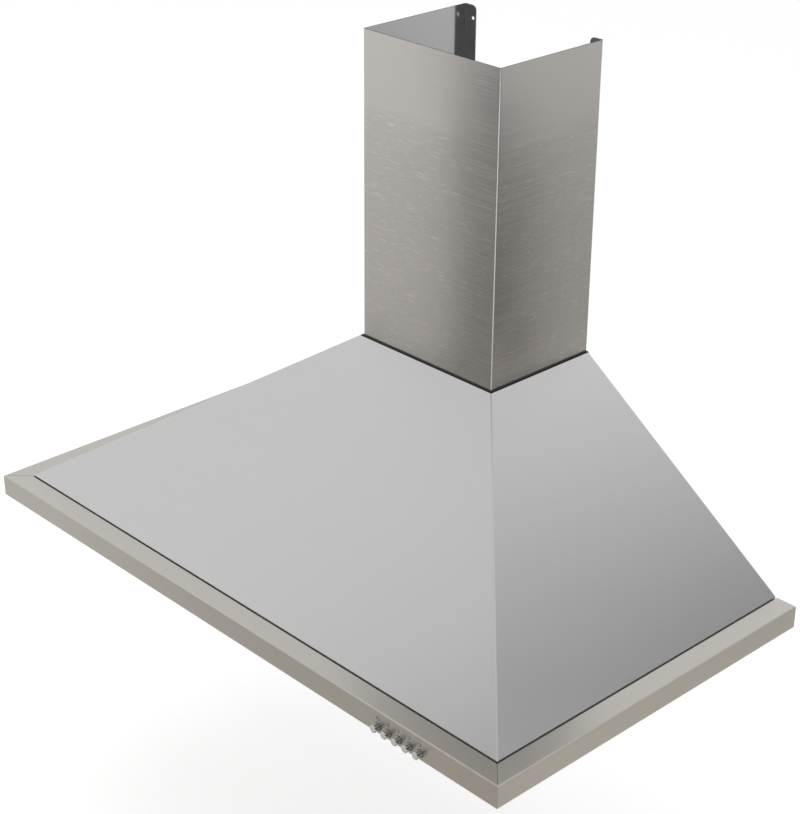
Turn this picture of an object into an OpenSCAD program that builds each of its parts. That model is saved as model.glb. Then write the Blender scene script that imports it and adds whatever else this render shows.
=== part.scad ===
// Wall-mounted canopy range hood: folded stainless body, chimney cover, radial blower,
// tilting grease filters, two lamps and five push buttons.
// Millimetres. X runs to the right along the wall, Y runs back into the wall, Z is up.
// The origin is on the wall plane, in the middle of the bottom edge.

/* [Body] */
// Width across the fascia
hood_w = 900; // [880:2:1000]
// Depth from the wall to the fascia
hood_d = 500; // [490:2:560]
// Height of the fascia band
band_h = 29; // [28:1:36]
// Width of the flat ledge round the foot of the canopy
ledge_w = 29; // [28:1:34]
// Height of the canopy above the ledge
canopy_h = 214; // [208:1:260]
// Thickness of the stainless sheet
sheet = 1; // [0.8:0.1:1.2]
// Inside radius of the folds
fold_r = 0.8; // [0.4:0.1:1.2]
// Dark gap between the ledge and the foot of the canopy
seam_gap = 0.9; // [0.4:0.1:1.5]
// Width of the mitre seams on the ledge
mitre_gap = 0.5; // [0.3:0.1:1]
// Depth of the turned-down flange behind the ledge
ledge_flange = 12; // [8:1:14]
// Height that the canopy skirt stands above the ledge
hem_rise = 1.2; // [0.5:0.1:3]
// Depth cut off the hips of the canopy by their fold
hip_flat = 0.4; // [0.2:0.1:0.8]
// Width of the weld flanges of the canopy
weld_flange = 13; // [10:1:14]

/* [Chimney] */
// Width of the chimney cover
chimney_w = 222; // [216:1:240]
// Depth of the chimney cover
chimney_d = 169; // [166:1:180]
// Height of the chimney cover
chimney_h = 391; // [300:5:600]
// Width of its two return flanges at the wall
chimney_flange = 19; // [16:1:24]
// Distance of the fixing holes from the free edge of a flange
flange_hole_edge = 5; // [4:0.5:6]
// Distance of the top fixing holes from the top edge
flange_hole_top = 16; // [10:1:30]
// Diameter of the fixing holes
flange_hole_d = 4.4; // [3.5:0.1:5]
// Radius of the free corners of the flanges
flange_corner_r = 6; // [3:1:8]
// Rim of the deck that shows round the chimney
deck_rim = 2; // [1:0.5:4]
// Height of the upstand inside the foot of the chimney
upstand_h = 18; // [14:1:24]
// Clearance between the upstand and the chimney
upstand_gap = 0.3; // [0.2:0.1:0.6]
// Height of the lower fixing screws above the deck
chimney_screw_z = 9; // [7:0.5:11]

/* [Wall fixing] */
// Diameter of the four wall screw holes
wall_hole_d = 8; // [6:0.5:10]
// Distance between the wall screw holes along the wall
wall_hole_span = 300; // [260:2:320]
// Height of the lower wall screw holes
wall_hole_low = 60; // [50:1:64]
// Height of the upper wall screw holes
wall_hole_high = 190; // [170:1:200]
// Depth of the stiffening rim of the back panel
back_rim = 12; // [8:1:14]

/* [Bottom panel] */
// Height of the underside of the bottom panel above the rim
recess = 10; // [10:0.5:12]
// Depth of the lamp strip in front of the filters
front_strip = 100; // [96:1:110]
// Width of the bare strips beside the filters
side_strip = 26; // [22:1:40]
// Depth of the strip behind the filters
rear_strip = 48; // [44:1:60]
// Width of the bars between the filters
filter_bar = 8; // [6:1:14]
// Clearance of the bottom panel inside the rim
panel_gap = 0.5; // [0.3:0.1:1]
// Diameter of the bottom panel screws
panel_screw_d = 4; // [3:0.5:4]

/* [Filters] */
// Thickness of a filter
filter_t = 9; // [8:0.5:10]
// Width of the rails of a filter frame
filter_rail = 12; // [10:1:13]
// Thickness of the aluminium of a filter frame
filter_sheet = 1; // [0.8:0.1:1.2]
// Clearance of a filter at its front and sides
filter_gap = 1; // [0.8:0.1:2]
// Clearance of a filter behind, where it tips
filter_gap_rear = 2; // [1.8:0.1:3]
// Width of one cell of the expanded metal
cell_w = 25; // [22:1:36]
// Length of one cell of the expanded metal
cell_l = 36; // [32:1:48]
// Width of the strands of the expanded metal
strand_w = 2.4; // [1.5:0.1:3.5]
// Pitch of the corrugated core
wave_pitch = 12; // [10:0.5:16]
// Width of the flat crests of the corrugated core
wave_flat = 2; // [1:0.5:3]
// Thickness of the corrugated core
wave_t = 0.8; // [0.5:0.1:1.2]
// Lift of tabs and bolts above the bottom panel
tab_lift = 0.3; // [0.2:0.1:0.6]
// Thickness of the rear tabs and of the latch bolt
tab_t = 1.5; // [1:0.1:2]
// Length of the rear tabs
tab_l = 7; // [5:1:9]
// Width of the latch cup
cup_w = 60; // [54:1:80]
// Depth of the latch cup from front to back
cup_l = 24; // [23:1:30]
// Wall of the latch cup
cup_wall = 1.5; // [1.2:0.1:1.8]
// Reach of the latch bolt past the frame
bolt_reach = 4; // [3:0.5:5]
// Width of the latch bolt
bolt_w = 16; // [12:1:20]
// Width of the finger grip of the latch
grip_w = 24; // [20:1:30]
// Depth that the finger grip hangs below the filter
grip_drop = 3.5; // [2:0.5:4]

/* [Blower] */
// Outer radius of the impeller blades
blade_r = 70; // [68:1:71]
// Radial depth of the blades
blade_depth = 10; // [8:1:11]
// Width of the impeller along its shaft
impeller_w = 112; // [100:2:114]
// Thickness of the impeller's end rings
ring_t = 1.5; // [1:0.1:2]
// Width of the rim that the end rings fold round the blades
ring_rim = 5; // [3:0.5:8]
// Thickness of the impeller's centre plate
plate_t = 2; // [1.5:0.1:2.5]
// Length of the impeller's hub
hub_l = 16; // [12:1:18]
// Wall of the impeller's hub
hub_wall = 6; // [4:0.5:8]
// Number of blades
blade_count = 36; // [24:1:40]
// Thickness of a blade
blade_t = 0.8; // [0.6:0.1:1.2]
// Angle by which a blade leans forward
blade_lean = 8; // [4:1:10]
// Inside radius of the scroll at its tongue
scroll_start_r = 80; // [78:1:82]
// Inside radius of the scroll at its outlet
scroll_end_r = 112; // [108:1:116]
// Angle of the tongue above the horizontal
tongue_angle = 70; // [66:1:74]
// Inside width of the scroll casing
scroll_w = 124; // [120:1:130]
// Wall of the scroll casing
case_wall = 2; // [1.6:0.1:2.4]
// Radius of the air inlets
inlet_r = 58; // [56:1:59]
// Roll of the inlet lips
lip_r = 4; // [3:0.5:5]
// Drop of the shaft below the deck
shaft_drop = 102; // [98:1:108]
// Gap between the casing and the wall plane
case_rear = 18; // [17:1:24]
// Width of the seam flange between the casing halves
seam_flange = 8; // [7:0.5:9]
// Thickness of the mounting flange under the deck
case_flange_t = 3; // [2:0.5:4]
// Radius of the motor
motor_r = 44; // [40:1:46]
// Length of the motor
motor_l = 58; // [50:1:60]
// Radius of the motor shaft
shaft_r = 4; // [3:0.5:5]
// Running clearance of the shaft in its bushes
run_gap = 0.05; // [0.02:0.01:0.08]
// Radius of the motor shaft's bushes
bush_r = 9; // [7:0.5:11]
// Length of the motor shaft's bushes
bush_l = 10; // [8:0.5:12]
// Radius on which the motor bracket is fixed
bracket_r = 75; // [73:0.5:76]
// Thickness of the motor bracket
bracket_t = 2; // [1.5:0.1:2.5]
// Radius of the eyes at the feet of the motor bracket
eye_r = 4; // [3.6:0.1:4.5]
// Radius of the rubber grommets
grommet_r = 6.5; // [6:0.1:7.5]
// Thickness of each of a grommet's two flanges
grommet_t = 2; // [1.5:0.1:2.5]
// Radius of the motor screws
motor_screw_r = 2; // [1.5:0.1:2]

/* [Outlet] */
// Radius of the duct collar
collar_r = 75; // [74:0.5:75.5]
// Wall of the duct collar
collar_wall = 2; // [1.6:0.1:2.6]
// Length of the duct collar
collar_l = 50; // [40:1:60]
// Height of the plenum below the collar
plenum_h = 38; // [30:1:50]
// Corner radius of the plenum
plenum_r = 16; // [10:1:24]
// Thickness of the adapter's foot flange
foot_t = 3; // [2:0.5:4]
// Distance of the collar's axis from the wall
collar_y = 85; // [84:0.5:86]
// Radius of the flap pins
pin_r = 1.5; // [1:0.1:2]
// Distance of each flap pin from the middle of the collar
pin_offset = 4; // [3.6:0.1:6]
// Height of the flap pins above the foot of the collar
pin_rise = 14; // [11:1:20]
// Thickness of a flap
flap_t = 1.5; // [1:0.1:2]
// Radial gap between a flap and the collar
flap_gap = 1.5; // [1:0.1:3]

/* [Lamps] */
// Distance of each lamp from the middle of the hood
lamp_x = 235; // [180:1:300]
// Distance of the lamps behind the edge of the canopy foot
lamp_back = 50; // [46:1:54]
// Radius of the lamp housings
lamp_r = 28; // [24:0.5:29]
// Height of the lamp housings
lamp_h = 27; // [24:0.5:28]
// Radius of the bezels
bezel_r = 35; // [33:0.5:38]
// Height of a bezel below its flange
bezel_t = 2; // [1.5:0.1:2.5]
// Thickness of the lenses
lens_t = 2; // [1.5:0.1:3]
// Radius of the lamp capsules
bulb_r = 4.5; // [4:0.1:6]

/* [Buttons] */
// Distance of the last button from the right end of the fascia
button_end = 113; // [100:1:160]
// Distance between neighbouring buttons
button_pitch = 16.2; // [14:0.1:20]
// Height of the buttons above the rim
button_z = 9.3; // [8.5:0.1:10]
// Diameter of a button
button_d = 9; // [7:0.1:10]
// Length of a button in front of the fascia
button_out = 8; // [6:0.1:12]
// Travel of a button
button_travel = 3; // [1:0.1:4]
// Clearance of a button in the fascia
button_gap = 0.5; // [0.3:0.05:0.6]
// Diameter of the button stems
stem_d = 5; // [4:0.1:6]

/* [Electrics] */
// Width of the terminal box
box_w = 120; // [100:1:130]
// Height of the terminal box
box_h = 62; // [50:1:64]
// Depth of the terminal box
box_d = 32; // [26:1:40]
// Wall of the terminal box
box_wall = 2; // [1.6:0.1:2.6]
// Distance of the terminal box from the middle of the hood
box_x = 185; // [175:1:190]
// Height of the underside of the terminal box
box_z = 76; // [74:1:84]
// Radius of the capacitor
capacitor_r = 15; // [12:0.5:18]
// Length of the capacitor
capacitor_l = 58; // [40:1:70]
// Distance of the capacitor from the middle of the hood
capacitor_x = 205; // [190:1:220]
// Radius of the cable gland's bore
gland_bore_r = 4; // [3:0.1:5]

/* [Hidden] */
$fn = 64;

eps = 0.01;
far = 2000;
bend_steps = 4;

// Colours as the photograph shows the metal, and plain product colours inside
steel_light = [0.76, 0.76, 0.77];
steel_warm = [0.62, 0.60, 0.57];
steel_chimney = [0.60, 0.58, 0.56];
zinc = [0.66, 0.68, 0.70];
black_paint = [0.09, 0.09, 0.09];
alloy = [0.80, 0.81, 0.82];
chrome = [0.86, 0.87, 0.88];
black_plastic = [0.10, 0.10, 0.11];
grey_plastic = [0.42, 0.43, 0.45];
white_plastic = [0.90, 0.90, 0.87];
bronze = [0.62, 0.46, 0.26];
rubber = [0.07, 0.07, 0.07];
clear_glass = [0.86, 0.90, 0.92, 0.5];

// Body
foot_x = hood_w / 2 - ledge_w;
foot_y = hood_d - ledge_w;
slope_z = band_h + hem_rise;
deck_z = band_h + canopy_h;
shell_top = deck_z - sheet;
panel_top = recess + sheet;
deck_x = chimney_w / 2 + deck_rim;
deck_y = chimney_d + deck_rim;
front_run = (foot_y - deck_y) / (deck_z - slope_z);
side_run = (foot_x - deck_x) / (deck_z - slope_z);
front_shift = sqrt(1 + front_run * front_run);
side_shift = sqrt(1 + side_run * side_run);

// Filters
panel_x = foot_x - panel_gap;
panel_front = foot_y - panel_gap;
panel_rear = sheet + panel_gap;
aperture_w = (2 * (panel_x - side_strip) - 2 * filter_bar) / 3;
aperture_front = panel_front - front_strip;
aperture_rear = panel_rear + rear_strip;
filter_w = aperture_w - 2 * filter_gap;
filter_front = aperture_front - filter_gap;
filter_rear = aperture_rear + filter_gap_rear;
filter_l = filter_front - filter_rear;
filter_step = aperture_w + filter_bar;
tab_z = panel_top + tab_lift;
wing_z = tab_z + tab_t + 1;

// Blower
case_top = shell_top;
shaft_z = case_top - shaft_drop;
shaft_y = case_rear + case_wall + scroll_end_r;
case_half = scroll_w / 2 + case_wall;
duct_in = scroll_start_r * cos(tongue_angle);
duct_half = scroll_w / 2;
duct_front = shaft_y - duct_in;
duct_rear = shaft_y - scroll_end_r;
bracket_angles = [130, 190, 250];
boss_h = lip_r;
bracket_x = case_half + boss_h + grommet_t;
screw_gap = 0.2;
adapter_half = collar_r + collar_wall;
foot_half = adapter_half + 11;
flange_screw_x = adapter_half + 5.5;
flange_screw_front = duct_front - 8;
flange_screw_rear = duct_rear + 8;

// Outlet
adapter_z = deck_z + foot_t;
collar_z = deck_z + plenum_h;
pin_z = collar_z + pin_rise;
barrel_r = pin_r + run_gap + 1;
ledge_r = collar_r - collar_wall - 3;

// Buttons
button_far = hood_w / 2 - button_end;
button_hole_r = button_d / 2 + button_gap;
fascia_in = hood_d - sheet;
head_in = 3.5;
block_front = fascia_in - head_in - button_travel - 0.7;
block_back = foot_y + sheet + 2;
stem_in = block_front - button_travel - block_back - 5;

// Folded sheet sections

function heading(p, i) = (p[i + 1] - p[i]) / norm(p[i + 1] - p[i]);

function leftward(v) = [-v[1], v[0]];

function turned(v, a) = [v[0] * cos(a) - v[1] * sin(a), v[0] * sin(a) + v[1] * cos(a)];

function fold_angle(p, i) =
    let(a = heading(p, i - 1), b = heading(p, i))
    atan2(a[0] * b[1] - a[1] * b[0], a * b);

// Points round one fold, on the path's own face or on the face one sheet to its left
function fold_arc(p, i, t, r, other_face) =
    let(
        d = heading(p, i - 1),
        w = fold_angle(p, i),
        s = sign(w),
        near_r = s > 0 ? r + t : r,
        far_r = s > 0 ? r : r + t,
        centre = p[i] - d * near_r * tan(abs(w) / 2) + s * near_r * leftward(d),
        arc_r = other_face ? far_r : near_r
    )
    [for (k = [0:bend_steps]) centre - s * arc_r * turned(leftward(d), w * k / bend_steps)];

// Outline of a sheet of thickness t folded along path p, which is its right-hand face
function folded(p, t, r) =
    let(n = len(p))
    concat(
        [p[0]],
        [for (i = [1:n - 2]) each fold_arc(p, i, t, r, false)],
        [p[n - 1], p[n - 1] + t * leftward(heading(p, n - 2))],
        [for (i = [n - 2:-1:1]) let(a = fold_arc(p, i, t, r, true)) for (k = [bend_steps:-1:0]) a[k]],
        [p[0] + t * leftward(heading(p, 0))]
    );

// Stands a flat outline up in the YZ plane and draws it out along X
module along_x(from, to)
    translate([from, 0, 0]) rotate([90, 0, 90]) linear_extrude(to - from) children();

// Stands a flat outline up in the XZ plane and draws it out along Y, with y counted from the wall
module along_y(from, to)
    translate([0, -from, 0]) rotate([90, 0, 0]) linear_extrude(to - from) children();

module block(low, high) translate(low) cube(high - low);

module rod_x(x, y, z, r, l) translate([x, y, z]) rotate([0, 90, 0]) cylinder(r = r, h = l);

module rod_y(x, y, z, r, l) translate([x, y, z]) rotate([-90, 0, 0]) cylinder(r = r, h = l);

module both_sides() {
    children();
    mirror([1, 0, 0]) children();
}

// Pan-head screw along +Z, its head below z = 0
module pan_screw(r, l) {
    head_h = 1.1 * r;
    difference() {
        translate([0, 0, -head_h]) cylinder(r1 = 1.5 * r, r2 = 2 * r, h = head_h);
        for (a = [0, 90]) rotate(a)
            translate([-r, -0.2 * r, -head_h - eps]) cube([2 * r, 0.4 * r, head_h / 2]);
    }
    cylinder(r = r, h = l);
}

// Canopy body

function rail_path() = [
    [ledge_w - seam_gap, band_h - ledge_flange],
    [ledge_w - seam_gap, band_h],
    [0, band_h],
    [0, 0],
    [ledge_w, 0],
    [ledge_w, panel_top + sheet]
];

module rail_section() polygon(folded(rail_path(), sheet, fold_r));

module mitre(points) translate([0, 0, -1]) linear_extrude(band_h + 2) polygon(points);

module front_rail() {
    reach = ledge_w + 1;
    intersection() {
        translate([0, -hood_d, 0]) along_x(-hood_w / 2, hood_w / 2) rail_section();
        mitre([
            [-hood_w / 2, -hood_d], [hood_w / 2, -hood_d],
            [hood_w / 2 - reach, -hood_d + reach], [-hood_w / 2 + reach, -hood_d + reach]
        ]);
    }
}

module side_rail() {
    reach = ledge_w + 1;
    intersection() {
        translate([-hood_w / 2, 0, 0]) along_y(0, hood_d) rail_section();
        mitre([
            [-hood_w / 2, -hood_d], [-hood_w / 2 + reach, -hood_d + reach],
            [-hood_w / 2 + reach, 0], [-hood_w / 2, 0]
        ]);
    }
    translate([-hood_w / 2, 0, 0])
        block([sheet, -sheet, sheet], [ledge_w - seam_gap - sheet, 0, band_h - sheet]);
}

module mitre_seam() {
    inner = ledge_w - seam_gap;
    translate([-hood_w / 2, -hood_d, band_h - sheet - fold_r])
        rotate(45)
            translate([3, -mitre_gap / 2, 0]) cube([inner * sqrt(2), mitre_gap, sheet + fold_r + 1]);
}

function button_x(i) = button_far - (4 - i) * button_pitch;

module fascia_frame() color(steel_warm) difference() {
    union() {
        front_rail();
        both_sides() side_rail();
    }
    both_sides() mitre_seam();
    for (i = [0:4]) rod_y(button_x(i), -hood_d - 1, button_z, button_hole_r, sheet + 2);
}

function front_profile(inset, low, high) = let(
        d = foot_y - inset,
        knee = slope_z - (inset * front_shift - inset) / front_run
    )
    [[0, low], [d, low], [d, knee], [d - front_run * (high - knee), high], [0, high]];

function side_profile(inset, low, high) = let(
        w = foot_x - inset,
        knee = slope_z - (inset * side_shift - inset) / side_run,
        top = w - side_run * (high - knee)
    )
    [[-w, low], [w, low], [w, knee], [top, high], [-top, high], [-w, knee]];

// The canopy's outer form taken in by an even thickness, between two heights
module canopy_form(inset, low, high) intersection() {
    along_x(-hood_w, hood_w) mirror([1, 0]) polygon(front_profile(inset, low, high));
    along_y(0, foot_y) polygon(side_profile(inset, low, high));
}

module hip_cut() {
    front_n = [0, -1, front_run] / front_shift;
    side_n = [1, 0, side_run] / side_shift;
    n = (front_n + side_n) / norm(front_n + side_n);
    translate([foot_x, -foot_y, slope_z] - hip_flat * n)
        rotate([0, acos(n[2]), atan2(n[1], n[0])])
            translate([-far / 2, -far / 2, 0]) cube(far);
}

module canopy_shell() color(steel_light) difference() {
    canopy_form(0, panel_top, shell_top);
    difference() {
        canopy_form(sheet, panel_top + sheet, shell_top - sheet);
        block([-far, -sheet, 0], [far, 1, far]);
    }
    block([-far, -sheet - eps, 0], [far, 1, shell_top - sheet]);
    block(
        [-foot_x + weld_flange, -foot_y + weld_flange, 0],
        [foot_x - weld_flange, 1, panel_top + sheet + eps]
    );
    block(
        [-deck_x + weld_flange, -deck_y + weld_flange, shell_top - 2 * sheet],
        [deck_x - weld_flange, 1, shell_top + 1]
    );
    both_sides() hip_cut();
}

function upstand_path() = let(
        w = chimney_w / 2 - sheet - upstand_gap,
        f = chimney_d - sheet - upstand_gap,
        r = sheet + upstand_gap,
        tab = chimney_flange - sheet
    )
    [[-w + tab, -r], [-w, -r], [-w, -f], [w, -f], [w, -r], [w - tab, -r]];

chimney_hole_x = chimney_w / 2 - chimney_flange + flange_hole_edge;
gland_x = deck_x - weld_flange - gland_bore_r - 7.5;
gland_y = deck_y - weld_flange - gland_bore_r - 7.5;

module top_deck() color(black_paint) difference() {
    union() {
        block([-deck_x, -deck_y, shell_top], [deck_x, 0, deck_z]);
        translate([0, 0, deck_z]) linear_extrude(upstand_h) polygon(folded(upstand_path(), sheet, fold_r));
    }
    block([-duct_half, -duct_front, shell_top - 1], [duct_half, -duct_rear, deck_z + 1]);
    both_sides() rod_y(chimney_hole_x, -far / 4, deck_z + chimney_screw_z, 1.6, far / 4);
    both_sides() for (y = [flange_screw_front, flange_screw_rear])
        translate([flange_screw_x, -y, shell_top - 1]) cylinder(r = 2.25, h = sheet + 2);
    translate([-gland_x, -gland_y, shell_top - 1]) cylinder(r = gland_bore_r + 4, h = sheet + 2);
}

module back_panel() color(zinc) difference() {
    union() {
        difference() {
            canopy_form(sheet, panel_top + sheet, shell_top - sheet);
            block([-far, -far, 0], [far, -back_rim, far]);
            difference() {
                canopy_form(2 * sheet, panel_top + 2 * sheet, shell_top - 2 * sheet);
                block([-far, -sheet, 0], [far, 1, far]);
            }
            block([-foot_x, -back_rim - 1, 0], [foot_x, -sheet, panel_top + 2 * sheet + eps]);
        }
        block([-foot_x, -sheet, 0], [foot_x, 0, panel_top + sheet]);
        block([-foot_x, -back_rim, 0], [foot_x, 0, sheet]);
    }
    both_sides() for (z = [wall_hole_low, wall_hole_high])
        rod_y(wall_hole_span / 2, -sheet - 1, z, wall_hole_d / 2, sheet + 2);
}

// Chimney

function chimney_path() = let(w = chimney_w / 2, f = chimney_flange)
    [[-w + f, 0], [-w, 0], [-w, -chimney_d], [w, -chimney_d], [w, 0], [w - f, 0]];

module flange_corner() {
    edge = chimney_w / 2 - chimney_flange;
    translate([edge - eps, sheet, deck_z + chimney_h - flange_corner_r])
        rotate([90, 0, 0]) linear_extrude(3 * sheet) difference() {
            square(flange_corner_r + 1);
            translate([flange_corner_r, 0]) circle(r = flange_corner_r);
            translate([flange_corner_r, -1]) square(flange_corner_r + 2);
        }
}

module chimney_cover() color(steel_chimney) difference() {
    translate([0, 0, deck_z]) linear_extrude(chimney_h) polygon(folded(chimney_path(), sheet, fold_r));
    both_sides() flange_corner();
    both_sides() for (z = [deck_z + chimney_screw_z, deck_z + chimney_h - flange_hole_top])
        rod_y(chimney_hole_x, -sheet - 1, z, flange_hole_d / 2, sheet + 2);
}

module chimney_screws() color(zinc) both_sides()
    translate([chimney_hole_x, -2 * sheet - upstand_gap, deck_z + chimney_screw_z])
        rotate([-90, 0, 0]) pan_screw(1.45, 2 * sheet);

// Bottom panel

function filter_x(i) = (i - 1) * filter_step;

module panel_screw_places() {
    side_x = foot_x - weld_flange / 2 - sheet / 2;
    front_y = foot_y - weld_flange / 2 - sheet / 2;
    both_sides() for (y = [0.15, 0.5, 0.85]) translate([side_x, -y * foot_y, 0]) children();
    for (x = [-0.5, 0, 0.5]) translate([x * foot_x, -front_y, 0]) children();
}

module bottom_panel() color(steel_light) difference() {
    union() {
        block([-panel_x, -panel_front, recess], [panel_x, -panel_rear, panel_top]);
        block(
            [-foot_x + weld_flange, -panel_rear - sheet, recess],
            [foot_x - weld_flange, -panel_rear, panel_top + 8]
        );
    }
    for (i = [0:2]) translate([filter_x(i), 0, 0]) block(
        [-aperture_w / 2, -aperture_front, recess - 1],
        [aperture_w / 2, -aperture_rear, panel_top + 1]
    );
    both_sides() translate([lamp_x, -foot_y + lamp_back, recess - 1])
        cylinder(r = lamp_r + 0.5, h = sheet + 2);
    panel_screw_places() translate([0, 0, recess - 1]) cylinder(r = panel_screw_d / 2, h = sheet + 2);
}

module bottom_panel_screws() color(zinc) panel_screw_places()
    translate([0, 0, recess]) pan_screw(panel_screw_d / 2 - 0.15, sheet - 0.1);

// Filters: each is drawn with its middle on x = 0 and then moved to its bay

module cup_space(extra, low, high) block(
    [-cup_w / 2 - extra, -filter_front + filter_sheet, low],
    [cup_w / 2 + extra, -filter_front + filter_sheet + cup_l + extra, high]
);

module bolt_slot() block(
    [-bolt_w / 2 - tab_lift, -filter_front - 1, tab_z - tab_lift],
    [bolt_w / 2 + tab_lift, -filter_front + filter_sheet + cup_wall + 1, tab_z + tab_t + tab_lift]
);

module filter_frame() color(alloy) {
    low = recess;
    high = recess + filter_t;
    w = filter_w / 2;
    difference() {
        block([-w, -filter_front, low], [w, -filter_rear, high]);
        block(
            [-w + filter_sheet, -filter_front + filter_sheet, low + filter_sheet],
            [w - filter_sheet, -filter_rear - filter_sheet, high - filter_sheet]
        );
        block(
            [-w + filter_rail, -filter_front + filter_rail, low - 1],
            [w - filter_rail, -filter_rear - filter_rail, high + 1]
        );
        cup_space(tab_lift, low - 1, high + 1);
        bolt_slot();
    }
    for (x = [-0.3, 0.3]) translate([x * filter_w, 0, 0])
        block([-tab_l, -filter_rear - eps, tab_z], [tab_l, -filter_rear + tab_l, tab_z + tab_t]);
}

// Core of the filter: one corrugated sheet that fills the height between the frame's flanges
module filter_pad() color(alloy) difference() {
    w = filter_w / 2 - filter_sheet;
    waves = round(2 * w / wave_pitch);
    pitch = 2 * w / waves;
    low = recess + 2 * filter_sheet;
    high = recess + filter_t - filter_sheet;
    lower = [for (i = [0:waves]) each [
        if (i > 0) [-w + i * pitch - wave_flat / 2, low],
        if (i < waves) [-w + i * pitch + wave_flat / 2, low],
        if (i < waves) [-w + (i + 0.5) * pitch - wave_flat / 2, high - wave_t],
        if (i < waves) [-w + (i + 0.5) * pitch + wave_flat / 2, high - wave_t]
    ]];
    upper = [for (i = [len(lower) - 1:-1:0]) lower[i] + [0, wave_t]];
    along_y(filter_rear + filter_sheet, filter_front - filter_sheet) polygon(concat(lower, upper));
    cup_space(tab_lift, recess - 1, recess + filter_t + 1);
}

function diamond(x, y, a, b) = [[x - a, y], [x, y - b], [x + a, y], [x, y + b]];

// Expanded metal: rows of diamonds, every other row shifted by half a cell
module mesh_sheet() {
    w = filter_w / 2 - filter_sheet;
    front = -filter_front + filter_sheet;
    rear = -filter_rear - filter_sheet;
    a = (cell_w - strand_w) / 2;
    b = (cell_l - strand_w) / 2;
    field_x = filter_w / 2 - filter_rail - a;
    field_front = front + cup_l + filter_sheet + b;
    field_rear = -filter_rear - filter_rail - b;
    rows = floor((field_rear - field_front) / (cell_l / 2));
    centres = [
        for (j = [0:rows])
            let(shift = (j % 2) / 2, columns = floor(field_x / cell_w - shift))
                for (i = [-columns:columns + 2 * shift]) if (abs((i - shift) * cell_w) <= field_x)
                    [(i - shift) * cell_w, field_front + j * cell_l / 2]
    ];
    notch_x = cup_w / 2 + tab_lift;
    notch_y = front + cup_l + tab_lift;
    outline = [
        [-w, front], [-notch_x, front], [-notch_x, notch_y], [notch_x, notch_y],
        [notch_x, front], [w, front], [w, rear], [-w, rear]
    ];
    points = concat(outline, [for (c = centres) each diamond(c[0], c[1], a, b)]);
    paths = concat([[for (k = [0:7]) k]], [for (k = [2:len(centres) + 1]) [for (j = [0:3]) 4 * k + j]]);
    linear_extrude(filter_sheet) polygon(points, paths);
}

module filter_mesh() color(alloy) translate([0, 0, recess + filter_sheet]) mesh_sheet();

module latch_cup() color(grey_plastic) {
    front = -filter_front + filter_sheet;
    rail_x = cup_w / 2 - cup_wall;
    difference() {
        cup_space(0, recess, recess + filter_t);
        block(
            [-rail_x, front + cup_wall, recess - 1],
            [rail_x, front + cup_l - cup_wall, recess + filter_t - cup_wall]
        );
        bolt_slot();
    }
    both_sides() block(
        [rail_x - 4, front + cup_wall - eps, wing_z - tab_lift - 1.2],
        [rail_x + eps, front + cup_l - cup_wall + eps, wing_z - tab_lift]
    );
}

module latch_slider() color(black_plastic) {
    y = -filter_front;
    wing_x = cup_w / 2 - cup_wall - tab_lift;
    grip_y = y + filter_sheet + cup_wall + 5;
    block([-bolt_w / 2, y - bolt_reach, tab_z], [bolt_w / 2, grip_y + eps, tab_z + tab_t]);
    block([-grip_w / 2, grip_y, recess - grip_drop], [grip_w / 2, grip_y + 6, wing_z + eps]);
    block([-wing_x, grip_y - 1, wing_z], [wing_x, grip_y + 7, wing_z + tab_t]);
}

module in_bay(i) translate([filter_x(i), 0, 0]) children();

// Blower

// Radius of the scroll at an angle counted from the wall side, growing towards the outlet
function scroll_r(a) = scroll_start_r
    + (scroll_end_r - scroll_start_r) * (a - tongue_angle) / (360 - tongue_angle);

// Outline of the scroll with its outlet duct, moved outwards by an even amount
function scroll_outline(extra) = let(top = shaft_drop) concat(
    [[scroll_end_r + extra, top]],
    [[duct_in - extra, top]],
    [for (a = [tongue_angle:10:360]) (scroll_r(a) + extra) * [cos(a), sin(a)]]
);

module scroll_slice(extra, from, to) translate([0, -shaft_y, shaft_z])
    along_x(from, to) polygon(scroll_outline(extra));

module case_mount_flange() block(
    [0, -flange_screw_front - 5, case_top - case_flange_t],
    [flange_screw_x + 5, -flange_screw_rear + 6, case_top]
);

module seam_bolt_places() for (a = [110, 160, 215, 270, 325])
    translate([0, -shaft_y, shaft_z])
        translate((scroll_r(a) + case_wall + seam_flange / 2) * [0, cos(a), sin(a)]) children();

module at_bracket_feet() for (a = bracket_angles)
    translate([0, -shaft_y, shaft_z]) translate(bracket_r * [0, cos(a), sin(a)]) children();

// One half of the scroll casing, drawn on the side of +X
module scroll_half(with_bosses) difference() {
    union() {
        scroll_slice(case_wall, 0, case_half);
        scroll_slice(case_wall + seam_flange, 0, 2.5);
        case_mount_flange();
        translate([case_half, -shaft_y, shaft_z]) rotate([0, 90, 0]) inlet_lip();
        if (with_bosses) at_bracket_feet() rod_x(case_half - eps, 0, 0, 5, boss_h);
    }
    scroll_slice(0, -1, scroll_w / 2);
    translate([0, -shaft_y, shaft_z])
        block([-1, duct_in, 0], [scroll_w / 2, scroll_end_r, shaft_drop + 1]);
    rod_x(0, -shaft_y, shaft_z, inlet_r, case_half + 20);
    seam_bolt_places() rod_x(-1, 0, 0, 1.6, 6);
    for (y = [flange_screw_front, flange_screw_rear])
        translate([flange_screw_x, -y, case_top - 10]) cylinder(r = 2.25, h = 20);
    if (with_bosses) at_bracket_feet() rod_x(case_half - case_wall - 1, 0, 0, motor_screw_r + 0.1, 20);
    block([-1, -back_rim - 2, case_top - 8], [far, 0, case_top + 1]);
}

// Rolled lip round an air inlet, its foot on z = 0
module inlet_lip() rotate_extrude() intersection() {
    translate([inlet_r + lip_r, 0]) circle(r = lip_r, $fn = 48);
    translate([inlet_r - 1, -case_wall]) square([2 * lip_r + 2, case_wall + lip_r]);
}

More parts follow.
